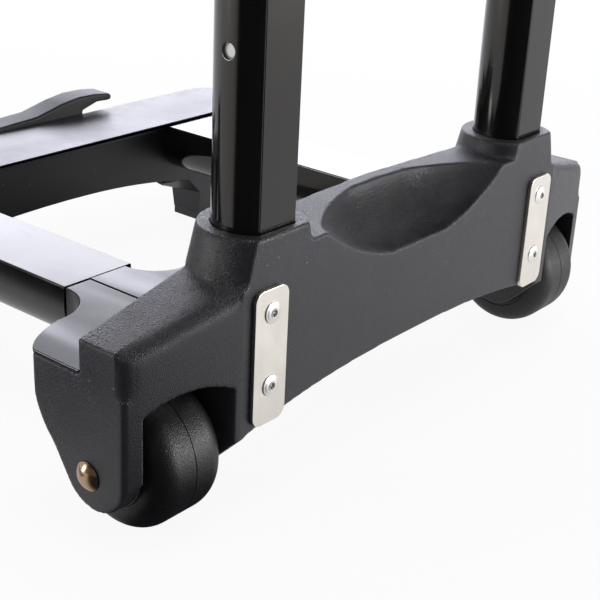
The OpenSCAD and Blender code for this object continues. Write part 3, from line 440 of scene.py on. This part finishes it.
finishes = {
    "housing_plastic": grainedPlastic("housingPlastic", paint(34, 34, 37), roughness=0.25,
                                      size=0.50, depth=0.00062, wearAndHighlight=0.9, dust=0.08),
    "gloss_plastic": polishedPlastic("glossPlastic", paint(18, 18, 21), roughness=0.11, waviness=0.0030),
    "black_tube": tubeFinish("blackTube", paint(9, 9, 9), roughness=0.09),
    "plate_steel": brushedMetal("plateSteel", paint(234, 229, 219), roughness=0.30,
                                stretch=(1.0, 1.0, 0.02), lines=900.0, depth=0.00002),
    "rivet_alloy": brushedMetal("rivetAlloy", paint(238, 236, 232), roughness=0.36,
                                stretch=(0.4, 0.4, 0.4), lines=500.0, depth=0.00001),
    "fastener_steel": brushedMetal("fastenerSteel", paint(175, 175, 176), roughness=0.30,
                                   stretch=(0.5, 0.5, 0.5), lines=600.0, depth=0.00001),
    "axle_steel": brushedMetal("axleSteel", paint(186, 156, 128), roughness=0.18,
                               stretch=(0.05, 1.0, 1.0), lines=700.0, depth=0.00001),
    "spring_steel": brushedMetal("springSteel", paint(170, 170, 172), roughness=0.28,
                                 stretch=(1.0, 1.0, 1.0), lines=700.0, depth=0.00001),
    "wheel_rubber": rubberFinish("wheelRubber", paint(14, 14, 16), roughness=0.44, size=0.55, depth=0.00012),
    "hub_plastic": grainedPlastic("hubPlastic", paint(38, 38, 40), roughness=0.42,
                                  size=0.4, depth=0.00002, wearAndHighlight=0.3, dust=0.1),
    "white_nylon": nylonFinish("whiteNylon", paint(226, 225, 218)),
    "foot_rubber": rubberFinish("footRubber", paint(34, 34, 35), roughness=0.62, size=0.4, depth=0.00004),
    "grip_plastic": grainedPlastic("gripPlastic", paint(38, 38, 40), roughness=0.52,
                                   size=0.9, depth=0.00010, wearAndHighlight=0.5, dust=0.2)}
satin = satinPlastic("satinPlastic", paint(18, 18, 21), roughness=0.27)
ownFinishes = {"crosspiece": satin, "crosspiece_cover": satin,
               "cord_hook": satinPlastic("hookPlastic", paint(12, 12, 14), roughness=0.42)}


def finishOf(node):
    return ownFinishes.get(node) or finishes[slotOf[node]]


for node, cadObject in frame["nodes"].items():
    cadObject.data.materials.clear()
    cadObject.data.materials.append(finishOf(node))
print("finishes:", len(finishes))


# modelling helpers

def hangPiece(mesh, name, nodes, sharp=32):
    # nodes: the CAD solids that the piece stands for, the first gives body and finish
    body, slotName = bodyOf[nodes[0]], slotOf[nodes[0]]
    mesh.materials.clear()
    mesh.materials.append(finishOf(nodes[0]))
    mesh.shade_smooth()
    mesh.set_sharp_from_angle(angle=math.radians(sharp))
    piece = bpy.data.objects.new(name, mesh)
    bpy.context.scene.collection.objects.link(piece)
    normals = piece.modifiers.new("evenNormals", "WEIGHTED_NORMAL")
    normals.keep_sharp = True
    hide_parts(*nodes)
    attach(piece, body)
    return piece


def finishPiece(bm, name, nodes, sharp=32):
    bmesh.ops.remove_doubles(bm, verts=bm.verts, dist=1e-6)
    bmesh.ops.recalc_face_normals(bm, faces=bm.faces)
    mesh = bpy.data.meshes.new(name)
    bm.to_mesh(mesh)
    bm.free()
    return hangPiece(mesh, name, nodes, sharp)


def appliedMesh(bm, name, modifiers):
    # runs modifiers on a bmesh and hands back the plain mesh
    mesh = bpy.data.meshes.new(name)
    bm.to_mesh(mesh)
    bm.free()
    carrier = bpy.data.objects.new(name + "Carrier", mesh)
    bpy.context.scene.collection.objects.link(carrier)
    for kind, settings in modifiers:
        modifier = carrier.modifiers.new(kind.title(), kind)
        for key, value in settings.items():
            setattr(modifier, key, value)
    evaluated = carrier.evaluated_get(bpy.context.evaluated_depsgraph_get())
    result = bpy.data.meshes.new_from_object(evaluated)
    result.name = name
    bpy.data.objects.remove(carrier)
    return result


def copyOfNode(node):
    bm = bmesh.new()
    bm.from_mesh(frame["nodes"][node].data)
    bmesh.ops.remove_doubles(bm, verts=bm.verts, dist=0.00001)
    return bm


def roundEdges(bm, width, segments=3, crease=25, longerThan=0.0, clamp=False):
    edges = [e for e in bm.edges if len(e.link_faces) == 2 and e.calc_length() > longerThan * mm
             and e.calc_face_angle(0.0) > math.radians(crease)]
    bmesh.ops.bevel(bm, geom=edges, offset=width * mm, offset_type="OFFSET", segments=segments, profile=0.5,
                    affect="EDGES", material=-1, clamp_overlap=clamp)


def softened(node, *rounds, flat=0.35):
    # a node's solid with its edges rounded in one or more rounds
    bm = copyOfNode(node)
    bmesh.ops.dissolve_limit(bm, angle_limit=math.radians(flat), verts=bm.verts, edges=bm.edges)
    for settings in rounds:
        roundEdges(bm, **settings)
    return bm


def softenZone(bm, xFrom, xTo, yTo, zFrom, passes):
    chosen = [v for v in bm.verts if xFrom < abs(v.co.x) / mm < xTo and v.co.z / mm > zFrom
              and v.co.y / mm + midDepth < yTo]
    for _ in range(passes):
        bmesh.ops.smooth_vert(bm, verts=chosen, factor=0.85,
                              use_axis_x=True, use_axis_y=True, use_axis_z=True)


def moulded(node, name, voxel, passes, keep, zones=()):
    # a node's solid as one moulding, soft along every edge and softer in its zones
    mesh = appliedMesh(copyOfNode(node), node + "Moulded", [
        ("REMESH", {"mode": "VOXEL", "voxel_size": voxel * mm, "use_smooth_shade": True}),
        ("SMOOTH", {"factor": 0.5, "iterations": passes})])
    bm = bmesh.new()
    bm.from_mesh(mesh)
    bpy.data.meshes.remove(mesh)
    for zone in zones:
        softenZone(bm, **zone)
    return appliedMesh(bm, name, [("DECIMATE", {"ratio": keep})])


def together(parts):
    whole = bmesh.new()
    for part in parts:
        mesh = bpy.data.meshes.new("part")
        part.to_mesh(mesh)
        part.free()
        whole.from_mesh(mesh)
        bpy.data.meshes.remove(mesh)
    return whole


def arcPoints(along, radius, bend, start, end, steps):
    # points of a round corner, in (along, radius) pairs
    turns = [math.radians(start + (end - start) * step / steps) for step in range(steps + 1)]
    return [(along + bend * math.cos(turn), radius + bend * math.sin(turn)) for turn in turns]


def turned(outline, centre, axis, steps=64, closed=False):
    # (along, radius) points in mm, spun about an axis through centre
    bm = bmesh.new()
    across = zAxis if abs(axis.z) < 0.5 else yAxis
    verts = [bm.verts.new(centre + axis * (along * mm) + across * (radius * mm)) for along, radius in outline]
    pairs = list(zip(verts, verts[1:])) + ([(verts[-1], verts[0])] if closed else [])
    edges = [bm.edges.new(pair) for pair in pairs]
    bmesh.ops.spin(bm, geom=verts + edges, cent=centre, axis=axis, angle=math.tau, steps=steps,
                   use_merge=True)
    bmesh.ops.remove_doubles(bm, verts=bm.verts, dist=1e-7)
    bmesh.ops.recalc_face_normals(bm, faces=bm.faces)
    return bm


def cutGroove(bm, axis, place, width, depth, facing):
    # a fine groove across the faces that look along facing, at one place on an axis
    for side in (-0.5, 0.5):
        bmesh.ops.bisect_plane(bm, geom=bm.verts[:] + bm.edges[:] + bm.faces[:],
                               plane_co=axis * (place + side * width) * mm, plane_no=axis)
    strip = [f for f in bm.faces if f.normal.dot(facing) > 0.95
             and abs(f.calc_center_median().dot(axis) / mm - place) < 0.4 * width]
    made = bmesh.ops.extrude_face_region(bm, geom=strip)
    floorVerts = [item for item in made["geom"] if isinstance(item, bmesh.types.BMVert)]
    bmesh.ops.translate(bm, verts=floorVerts, vec=-facing * depth * mm)
    bmesh.ops.delete(bm, geom=[f for f in strip if f.is_valid], context="FACES_ONLY")


def islandsOf(node):
    # corners of each loose solid of a node
    bm = copyOfNode(node)
    left = set(bm.verts)
    islands = []
    for start in bm.verts:
        if start not in left:
            continue
        left.remove(start)
        queue, found = [start], []
        while queue:
            vert = queue.pop()
            found.append(vert.co.copy())
            for edge in vert.link_edges:
                other = edge.other_vert(vert)
                if other in left:
                    left.remove(other)
                    queue.append(other)
        islands.append(found)
    bm.free()
    return islands


def boxOf(island):
    low, high = (Vector([pick(point[i] for point in island) for i in range(3)]) for pick in (min, max))
    return low, high


# housing: one moulding with soft edges, and its shoulders and cheeks rounded more than the rest
housing = {"voxel": 0.75, "passes": 5, "keep": 0.28, "zones": [
    {"xFrom": 121.0, "xTo": 176.0, "yTo": 14.0, "zFrom": 68.0, "passes": 80},
    {"xFrom": 168.5, "xTo": 176.0, "yTo": 9.0, "zFrom": -1.0, "passes": 35}]}
mesh = moulded("rear_housing", "housingShell", **housing)
hangPiece(mesh, "housingShell", ["rear_housing"], sharp=60)
print("housing:", len(mesh.polygons), "faces")

# glossy deck, with the seam between the ledge and the hinge ears
deck = {"edge": 0.45, "seam": 112.0, "seamWidth": 0.25, "seamDepth": 0.12}
bm = softened("front_deck", {"width": deck["edge"]})
for side in (-1, 1):
    cutGroove(bm, xAxis, side * deck["seam"], deck["seamWidth"], deck["seamDepth"], zAxis)
finishPiece(bm, "deckShell", ["front_deck"])

# crosspiece: the arch ends in a short slope, and the legs drop straight from it
legs = {"inner": 126.0, "wall": 4.0, "slopeStart": 99.0, "slopeTop": 33.0, "slopeFoot": 10.0,
        "inward": 12.0, "higher": 10.0, "slack": 0.1, "edge": 1.0}
bm = softened("crosspiece", flat=1.0)


def withinWall(value, edge):
    return -legs["slack"] < value - edge < legs["wall"]


for vert in bm.verts:
    x, z = abs(vert.co.x) / mm, vert.co.z / mm
    if withinWall(x, legs["slopeStart"]) and withinWall(z, legs["slopeTop"]):
        vert.co.x += math.copysign(legs["inward"] * mm, vert.co.x)
    elif withinWall(x, legs["inner"]) and withinWall(z, legs["slopeFoot"]):
        vert.co.z += legs["higher"] * mm
roundEdges(bm, legs["edge"], clamp=True)
finishPiece(bm, "crosspieceShell", ["crosspiece"])

# other glossy mouldings: width of the rounded edges in mm
glossEdges = {"hinge_bar": 0.8, "crosspiece_cover": 0.8, "cord_hook": 1.5, "upper_brace": 1.0,
              "release_button": 0.8}
for node, width in glossEdges.items():
    finishPiece(softened(node, {"width": width}), node + "Shell", [node])

# tubes and arms: the long edges are rolled, the sawn ends only broken
tubes = [{"width": 0.7, "segments": 4, "crease": 30, "longerThan": 60.0},
         {"width": 0.3, "segments": 2, "crease": 50}]
for node in [name for name, slotName in slotOf.items() if slotName == "black_tube"]:
    finishPiece(softened(node, *tubes), node + "Shell", [node])
print("deck, gloss parts and tubes ready")

# wheels: a tyre with a parting line and a bead
tyre = {"seat": 16.0, "bevel": 1.0, "shoulder": 10.0, "partingWidth": 0.5, "partingDepth": 0.3,
        "beadWidth": 1.2, "beadDepth": 0.5, "beadStart": 2.4, "beadFloor": 2.0, "beadEnd": 0.4}
for side in ("left", "right"):
    low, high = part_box(side + "_tyre")
    centre = (Vector(low) + Vector(high)) / 2
    half = (high[0] - low[0]) / 2 / mm
    radius = (high[2] - low[2]) / 2 / mm
    rim = radius - tyre["shoulder"]
    floor = rim - tyre["beadFloor"]
    outside = [(-half, tyre["seat"] + tyre["bevel"]), (-half, rim - tyre["beadStart"]),
               (tyre["beadDepth"] - half, floor), (tyre["beadDepth"] - half, floor + tyre["beadWidth"]),
               (-half, rim - tyre["beadEnd"])]
    outside += arcPoints(tyre["shoulder"] - half, rim, tyre["shoulder"], 180, 90, 12)
    outside += [(-tyre["partingWidth"] / 2, radius),
                (-tyre["partingWidth"] / 5, radius - tyre["partingDepth"])]
    outline = [(tyre["bevel"] - half, tyre["seat"])] + outside
    outline += [(-along, far) for along, far in reversed(outside)]
    outline.append((half - tyre["bevel"], tyre["seat"]))
    bm = turned(outline, centre, xAxis, steps=128, closed=True)
    finishPiece(bm, side + "TyreShell", [side + "_tyre"], sharp=50)

# axles: a drawn pin with a domed head and a chamfered tail
axle = {"radius": 5.0, "headRadius": 6.3, "headHeight": 3.0, "chamfer": 0.8, "rim": 0.5, "rimBevel": 0.2}
for side, sign in (("left", -1), ("right", 1)):
    low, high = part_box(side + "_axle")
    centre = (Vector(low) + Vector(high)) / 2
    half = (high[0] - low[0]) / 2 / mm
    neck = half - axle["headHeight"]
    domeHeight = axle["headHeight"] - axle["rim"]
    ball = (axle["headRadius"] ** 2 + domeHeight ** 2) / 2 / domeHeight
    widest = math.degrees(math.asin(axle["headRadius"] / ball))
    outline = [(-half, 0.0), (-half, axle["radius"] - axle["chamfer"]),
               (axle["chamfer"] - half, axle["radius"]), (neck, axle["radius"]),
               (neck, axle["headRadius"] - axle["rimBevel"]), (neck + axle["rimBevel"], axle["headRadius"])]
    outline += arcPoints(half - ball, 0.0, ball, widest, 0.0, 10)
    finishPiece(turned(outline, centre, xAxis * sign), side + "AxleShell", [side + "_axle"], sharp=45)

# blind rivets: a low dome with a ring round the hole, and the broken mandrel in it
rivet = {"head": 4.72, "rise": 1.46, "hole": 1.35, "mandrel": 1.15, "mandrelTop": -1.6, "holeFloor": -2.4,
         "shank": 2.4, "tail": 2.1, "ring": 0.55, "ringFoot": 0.85, "ringDepth": 0.30,
         "dome": [(1.10, 2.7), (0.90, 3.3), (0.66, 3.7), (0.56, 3.95), (0.50, 4.4)]}
heads = []
for island in islandsOf("plate_rivets"):
    low, high = boxOf(island)
    face = Vector(((low.x + high.x) / 2, low.y + rivet["rise"] * mm, (low.z + high.z) / 2))
    reach = (high.y - face.y) / mm
    inHole = [(rivet["mandrelTop"], 0.0), (rivet["mandrelTop"], rivet["mandrel"] - 0.3),
              (rivet["mandrelTop"] - 0.3, rivet["mandrel"]), (rivet["holeFloor"], rivet["mandrel"]),
              (rivet["holeFloor"], rivet["hole"])]
    ring = [(rivet["rise"] - 0.3, rivet["hole"]), (rivet["rise"] - 0.02, rivet["hole"] + 0.2),
            (rivet["rise"], rivet["hole"] + rivet["ring"]),
            (rivet["rise"] - rivet["ringDepth"], rivet["hole"] + rivet["ringFoot"])]
    rim = [(0.30, rivet["head"] - 0.08), (0.16, rivet["head"]), (0.0, rivet["head"]), (0.0, rivet["shank"])]
    tail = [(3.1 - reach, rivet["shank"]), (2.9 - reach, rivet["tail"]), (0.4 - reach, rivet["tail"]),
            (-reach, rivet["tail"] - 0.5), (-reach, 0.0)]
    heads.append(turned(inHole + ring + rivet["dome"] + rim + tail, face, -yAxis, steps=48))
finishPiece(together(heads), "blindRivets", ["plate_rivets"], sharp=38)


# screws: pan heads with a six-lobed recess, sized by the solids that they stand for
screw = {"recess": 1.35, "lobe": 0.17, "recessDepth": 0.9, "recessTaper": 0.1, "recessPoint": 0.25,
         "headEdge": 0.6, "flushHead": 0.4, "tip": 0.6, "bevel": 0.1}


def makeScrew(island):
    low, high = boxOf(island)
    axis = max((xAxis, yAxis, zAxis), key=lambda line: (high - low).dot(line))
    centre = (low + high) / 2
    reach = (high - low).dot(axis) / 2 / mm

    def radiusNear(end):
        ring = [point - centre for point in island if abs((point - centre).dot(axis) / mm - end) < 0.05]
        return max((point - axis * point.dot(axis)).length for point in ring) / mm
    if radiusNear(-reach) > radiusNear(reach):
        axis = -axis
    head, shank = radiusNear(reach), radiusNear(-reach)
    levels = [(point - centre).dot(axis) / mm for point in island
              if ((point - centre) - axis * (point - centre).dot(axis)).length / mm > head - 0.05]
    under = min(levels) if head > shank + 0.3 else reach - screw["flushHead"]
    edge = min(screw["headEdge"], 0.4 * (reach - under))
    floor = reach - screw["recessDepth"]
    outline = [(-reach, 0.0), (-reach, 0.6 * shank), (screw["tip"] - reach, shank), (under, shank),
               (under, head - screw["bevel"]), (under + screw["bevel"], head), (reach - edge, head),
               (reach - 0.4 * edge, head - 0.4 * edge), (reach, head - 1.6 * edge),
               (reach, screw["recess"]), (floor, screw["recess"] - screw["recessTaper"]),
               (floor - screw["recessPoint"], 0.0)]
    made = turned(outline, centre, axis, steps=36)
    for vert in made.verts:
        out = vert.co - centre
        out -= axis * out.dot(axis)
        if screw["recess"] - 0.2 < out.length / mm < screw["recess"] + 0.05:
            turn = math.atan2(out.dot(axis.orthogonal().cross(axis)), out.dot(axis.orthogonal()))
            vert.co += out * screw["lobe"] * math.cos(6 * turn)
    return made


for node in ("deck_screws", "brace_screws", "hook_screws", "arm_screws", "cover_screws", "tube_screws",
             "grip_screws"):
    screws = together([makeScrew(island) for island in islandsOf(node)])
    finishPiece(screws, node + "Shell", [node], sharp=40)
print("wheels, axles, rivets and screws ready")

# grip: two soft shells
gripShells = {"voxel": 1.0, "passes": 5, "keep": 0.4}
for node in ("grip_rear", "grip_front"):
    mesh = moulded(node, node + "Shell", **gripShells)
    hangPiece(mesh, node + "Shell", [node], sharp=60)
    print(node, len(mesh.polygons), "faces")

# feet with a ribbed sole
feet = {"edge": 0.6, "grooves": 4, "grooveWidth": 1.2, "grooveDepth": 0.8}
for side in ("left", "right"):
    low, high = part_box(side + "_foot")
    bm = softened(side + "_foot", {"width": feet["edge"]})
    pitch = (high[0] - low[0]) / mm / (feet["grooves"] + 1)
    for index in range(feet["grooves"]):
        place = low[0] / mm + pitch * (index + 1)
        cutGroove(bm, xAxis, place, feet["grooveWidth"], feet["grooveDepth"], -zAxis)
    finishPiece(bm, side + "FootShell", [side + "_foot"])

# the small parts that are left: edges only broken
smallEdges = {"left_fixing_plate": 0.35, "right_fixing_plate": 0.35, "axle_clips": 0.2,
              "left_hinge_pin": 0.5, "right_hinge_pin": 0.5, "guide_bushes": 0.3, "left_hub": 0.5,
              "right_hub": 0.5, "left_bush": 0.4, "right_bush": 0.4, "left_glide": 0.4, "right_glide": 0.4,
              "release_rods": 0.4, "left_lock_pin": 0.5, "right_lock_pin": 0.5}
for node, width in smallEdges.items():
    finishPiece(softened(node, {"width": width, "segments": 2, "crease": 40}), node + "Shell", [node])


# coil springs: a wire spun along its axis
springs = {
    "button_spring": {"joint": "button_press", "wire": 0.9, "turns": 4, "travel": 5.0},
    "left_lock_spring": {"joint": "left_lock_slide", "wire": 0.7, "turns": 4, "travel": 3.0},
    "right_lock_spring": {"joint": "right_lock_slide", "wire": 0.7, "turns": 4, "travel": 3.0}}


def makeSpring(node, joint, wire, turns, travel, sides=10, stepsPerTurn=20):
    low, high = (Vector(corner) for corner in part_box(node))
    size = high - low
    axis = zAxis if abs(size.x - size.y) < 0.1 * mm else xAxis
    length = size.dot(axis)
    coil = (size.y / mm - wire) / 2
    centre = (low + high) / 2
    foot = centre - axis * (length / 2 - wire * mm / 2)
    bm = bmesh.new()
    ring = bmesh.ops.create_circle(bm, cap_ends=False, segments=sides, radius=wire * mm / 2)["verts"]
    turn = Matrix.Rotation(math.pi / 2, 4, "X" if axis == xAxis else "Y")
    bmesh.ops.transform(bm, matrix=Matrix.Translation(foot + yAxis * coil * mm) @ turn, verts=ring)
    steps = turns * stepsPerTurn
    bmesh.ops.spin(bm, geom=bm.verts[:] + bm.edges[:], cent=foot, axis=axis,
                   dvec=axis * ((length - wire * mm) / steps), angle=turns * math.tau, steps=steps)
    bmesh.ops.holes_fill(bm, edges=[e for e in bm.edges if e.is_boundary])
    piece = finishPiece(bm, node + "Coil", [node])
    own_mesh(piece)


for node, settings in springs.items():
    makeSpring(node, **settings)
print("grip, feet, small parts and springs ready")


# stage, lamps and camera; the camera's place is in mm, its depth from the back of the base
photoView = {"place": (-462.8, -301.4, 296.0), "lens": 77.22, "sensorWidth": 36.0, "clipStart": 0.01,
             "right": (0.63852, -0.76832, 0.04448), "up": (0.27969, 0.28552, 0.91665),
             "forward": (0.71698, 0.57286, -0.39720)}
right, up, forward = (Vector(photoView[key]) for key in ("right", "up", "forward"))
viewAway = Vector((forward.x, forward.y, 0.0)).normalized()
stage = {"floorSize": 6.0, "floorColour": 0.86, "floorGlow": 0.92, "floorMirror": 0.45,
         "shadeColour": (0.03, 0.03, 0.035, 1.0), "darkFrom": 0.566, "darkTo": 0.741,
         "fanFrom": (-0.097, -0.14, 0.0), "skyLow": 0.15, "skyFrom": -0.4, "skyTo": 0.5, "ceilingFrom": 0.40,
         "ceilingTo": 0.58, "ceiling": 0.06, "sky": (0.92, 0.93, 1.0, 1.0), "skyLight": 0.42}

# painted shade on the floor that only reflections see, in metres
shades = [{"x": (-0.075, 0.085), "y": (-0.05, 0.085), "softness": 0.022, "depth": 0.9},
          {"x": (-0.325, -0.222), "y": (-0.07, 0.5), "softness": 0.005, "depth": 1.0}]


def makeFloor():
    bm = bmesh.new()
    bmesh.ops.create_grid(bm, x_segments=1, y_segments=1, size=stage["floorSize"])
    mesh = bpy.data.meshes.new("studioFloor")
    bm.to_mesh(mesh)
    bm.free()
    floor = bpy.data.objects.new("studioFloor", mesh)
    bpy.context.scene.collection.objects.link(floor)
    material = bpy.data.materials.new("studioFloorWhite")
    material.use_nodes = True
    tree = material.node_tree
    tree.nodes.clear()
    output = tree.nodes.new("ShaderNodeOutputMaterial")
    grey = stage["floorColour"]
    matte = addNode(tree, "ShaderNodeBsdfDiffuse", {"Color": (grey, grey, grey, 1.0)})
    glow = addNode(tree, "ShaderNodeEmission", {"Color": (1.0, 1.0, 1.0, 1.0), "Strength": 1.0})
    dark = addNode(tree, "ShaderNodeEmission", {"Color": stage["shadeColour"], "Strength": 1.0})
    seen = tree.nodes.new("ShaderNodeLightPath")
    # painted shade that only reflections see: a dark fan on the floor, which widens back from the trolley,
    # and painted shade patches beside it
    place = tree.nodes.new("ShaderNodeTexCoord")
    fromTube = addNode(tree, "ShaderNodeVectorMath", operation="SUBTRACT")
    tree.links.new(place.outputs["Object"], fromTube.inputs[0])
    fromTube.inputs[1].default_value = stage["fanFrom"]
    heading = addNode(tree, "ShaderNodeVectorMath", operation="NORMALIZE")
    tree.links.new(fromTube.outputs[0], heading.inputs[0])
    backward = addNode(tree, "ShaderNodeVectorMath", operation="DOT_PRODUCT")
    tree.links.new(heading.outputs[0], backward.inputs[0])
    backward.inputs[1].default_value = -viewAway
    paintedShade = rangeNode(tree, backward.outputs["Value"], stage["darkFrom"], stage["darkTo"])
    split = tree.nodes.new("ShaderNodeSeparateXYZ")
    tree.links.new(place.outputs["Object"], split.inputs[0])
    for shade in shades:
        soft = shade["softness"]
        sides = []
        for value, (low, high) in ((split.outputs["X"], shade["x"]), (split.outputs["Y"], shade["y"])):
            sides.append(rangeNode(tree, value, low - soft, low + soft))
            sides.append(rangeNode(tree, value, high + soft, high - soft))
        across = mathNode(tree, "MULTIPLY", sides[0], sides[1])
        along = mathNode(tree, "MULTIPLY", sides[2], sides[3])
        patch = mathNode(tree, "MULTIPLY", mathNode(tree, "MULTIPLY", across, along), shade["depth"])
        paintedShade = mathNode(tree, "MAXIMUM", paintedShade, patch)
    mix = tree.nodes.new("ShaderNodeMixShader")
    mirrored = mathNode(tree, "MAXIMUM", seen.outputs["Is Glossy Ray"], seen.outputs["Is Transmission Ray"])
    looked = mathNode(tree, "MULTIPLY", seen.outputs["Is Camera Ray"], stage["floorGlow"])
    reflected = mathNode(tree, "MULTIPLY", mirrored, stage["floorMirror"])
    tree.links.new(mathNode(tree, "MAXIMUM", looked, reflected), mix.inputs[0])
    tree.links.new(matte.outputs[0], mix.inputs[1])
    tree.links.new(glow.outputs[0], mix.inputs[2])
    # glossy rays see the painted shade in place of the floor
    edge = tree.nodes.new("ShaderNodeMixShader")
    tree.links.new(mathNode(tree, "MULTIPLY", paintedShade, seen.outputs["Is Glossy Ray"]), edge.inputs[0])
    tree.links.new(mix.outputs[0], edge.inputs[1])
    tree.links.new(dark.outputs[0], edge.inputs[2])
    tree.links.new(edge.outputs[0], output.inputs["Surface"])
    mesh.materials.append(material)


def makeWorld():
    world = bpy.data.worlds.new("studio")
    world.use_nodes = True
    bpy.context.scene.world = world
    tree = world.node_tree
    tree.nodes.clear()
    output = tree.nodes.new("ShaderNodeOutputWorld")
    soft = addNode(tree, "ShaderNodeBackground", {"Color": stage["sky"], "Strength": stage["skyLight"]})
    plain = addNode(tree, "ShaderNodeBackground", {"Color": (1.0, 1.0, 1.0, 1.0), "Strength": 1.0})
    shown = tree.nodes.new("ShaderNodeBackground")
    seen = tree.nodes.new("ShaderNodeLightPath")
    # reflections see the white sweep behind the object, and a dimmer ceiling and camera side
    direction = tree.nodes.new("ShaderNodeTexCoord")
    split = tree.nodes.new("ShaderNodeSeparateXYZ")
    tree.links.new(direction.outputs["Generated"], split.inputs[0])
    behind = addNode(tree, "ShaderNodeVectorMath", operation="DOT_PRODUCT")
    tree.links.new(direction.outputs["Generated"], behind.inputs[0])
    behind.inputs[1].default_value = viewAway
    facing = rangeNode(tree, behind.outputs["Value"], stage["skyFrom"], stage["skyTo"], stage["skyLow"], 1.0)
    height = rangeNode(tree, split.outputs["Z"], stage["ceilingFrom"], stage["ceilingTo"],
                       1.0, stage["ceiling"])
    tree.links.new(mathNode(tree, "MULTIPLY", facing, height), shown.inputs["Strength"])
    glossy = tree.nodes.new("ShaderNodeMixShader")
    tree.links.new(seen.outputs["Is Glossy Ray"], glossy.inputs[0])
    tree.links.new(soft.outputs[0], glossy.inputs[1])
    tree.links.new(shown.outputs[0], glossy.inputs[2])
    mix = tree.nodes.new("ShaderNodeMixShader")
    direct = mathNode(tree, "MAXIMUM", seen.outputs["Is Camera Ray"], seen.outputs["Is Transmission Ray"])
    tree.links.new(direct, mix.inputs[0])
    tree.links.new(glossy.outputs[0], mix.inputs[1])
    tree.links.new(plain.outputs[0], mix.inputs[2])
    tree.links.new(mix.outputs[0], output.inputs["Surface"])


lamps = {
    "backPanel": {"spot": (1.30, 1.02, 0.57), "aim": (0.0, 0.0, 0.08), "width": 2.2, "height": 0.54,
                  "power": 18.5, "colour": (0.86, 0.87, 1.0)},
    "upperPanel": {"spot": (1.30, 1.02, 1.04), "aim": (0.0, 0.0, 0.08), "width": 2.2, "height": 0.38,
                   "power": 4.5, "colour": (0.86, 0.87, 1.0)},
    "topSoftbox": {"spot": (-0.1, -0.2, 1.8), "aim": (0.0, 0.0, 0.1), "width": 0.8, "height": 0.8,
                   "power": 8.0},
    "leftSoftbox": {"spot": (-1.35, 0.95, 0.32), "aim": (0.0, 0.0, 0.1), "width": 0.30, "height": 0.6,
                    "power": 10.0},
    "rearFill": {"spot": (0.9, -1.6, 0.26), "aim": (0.0, 0.0, 0.1), "width": 1.0, "height": 0.36,
                 "power": 19.0}}


def makeLamp(name, spot, aim, width, height, power, colour=(1.0, 1.0, 1.0)):
    data = bpy.data.lights.new(name, "AREA")
    data.shape = "RECTANGLE"
    data.size, data.size_y = width, height
    data.energy = power
    data.color = colour
    lamp = bpy.data.objects.new(name, data)
    lamp.location = spot
    lamp.rotation_euler = (Vector(aim) - Vector(spot)).to_track_quat("-Z", "Y").to_euler()
    bpy.context.scene.collection.objects.link(lamp)


for name, settings in lamps.items():
    makeLamp(name, **settings)
makeWorld()
makeFloor()

camera = bpy.data.cameras.new("photoCamera")
camera.lens = photoView["lens"]
camera.sensor_width = photoView["sensorWidth"]
camera.clip_start = photoView["clipStart"]
cameraObject = bpy.data.objects.new("photoCamera", camera)
turn = Matrix((right, up, -forward)).transposed().to_4x4()
cameraObject.matrix_world = Matrix.Translation(at(*photoView["place"])) @ turn
bpy.context.scene.collection.objects.link(cameraObject)
bpy.context.scene.camera = cameraObject
bpy.context.scene.view_settings.view_transform = "Standard"
print("stage, lamps and camera ready")
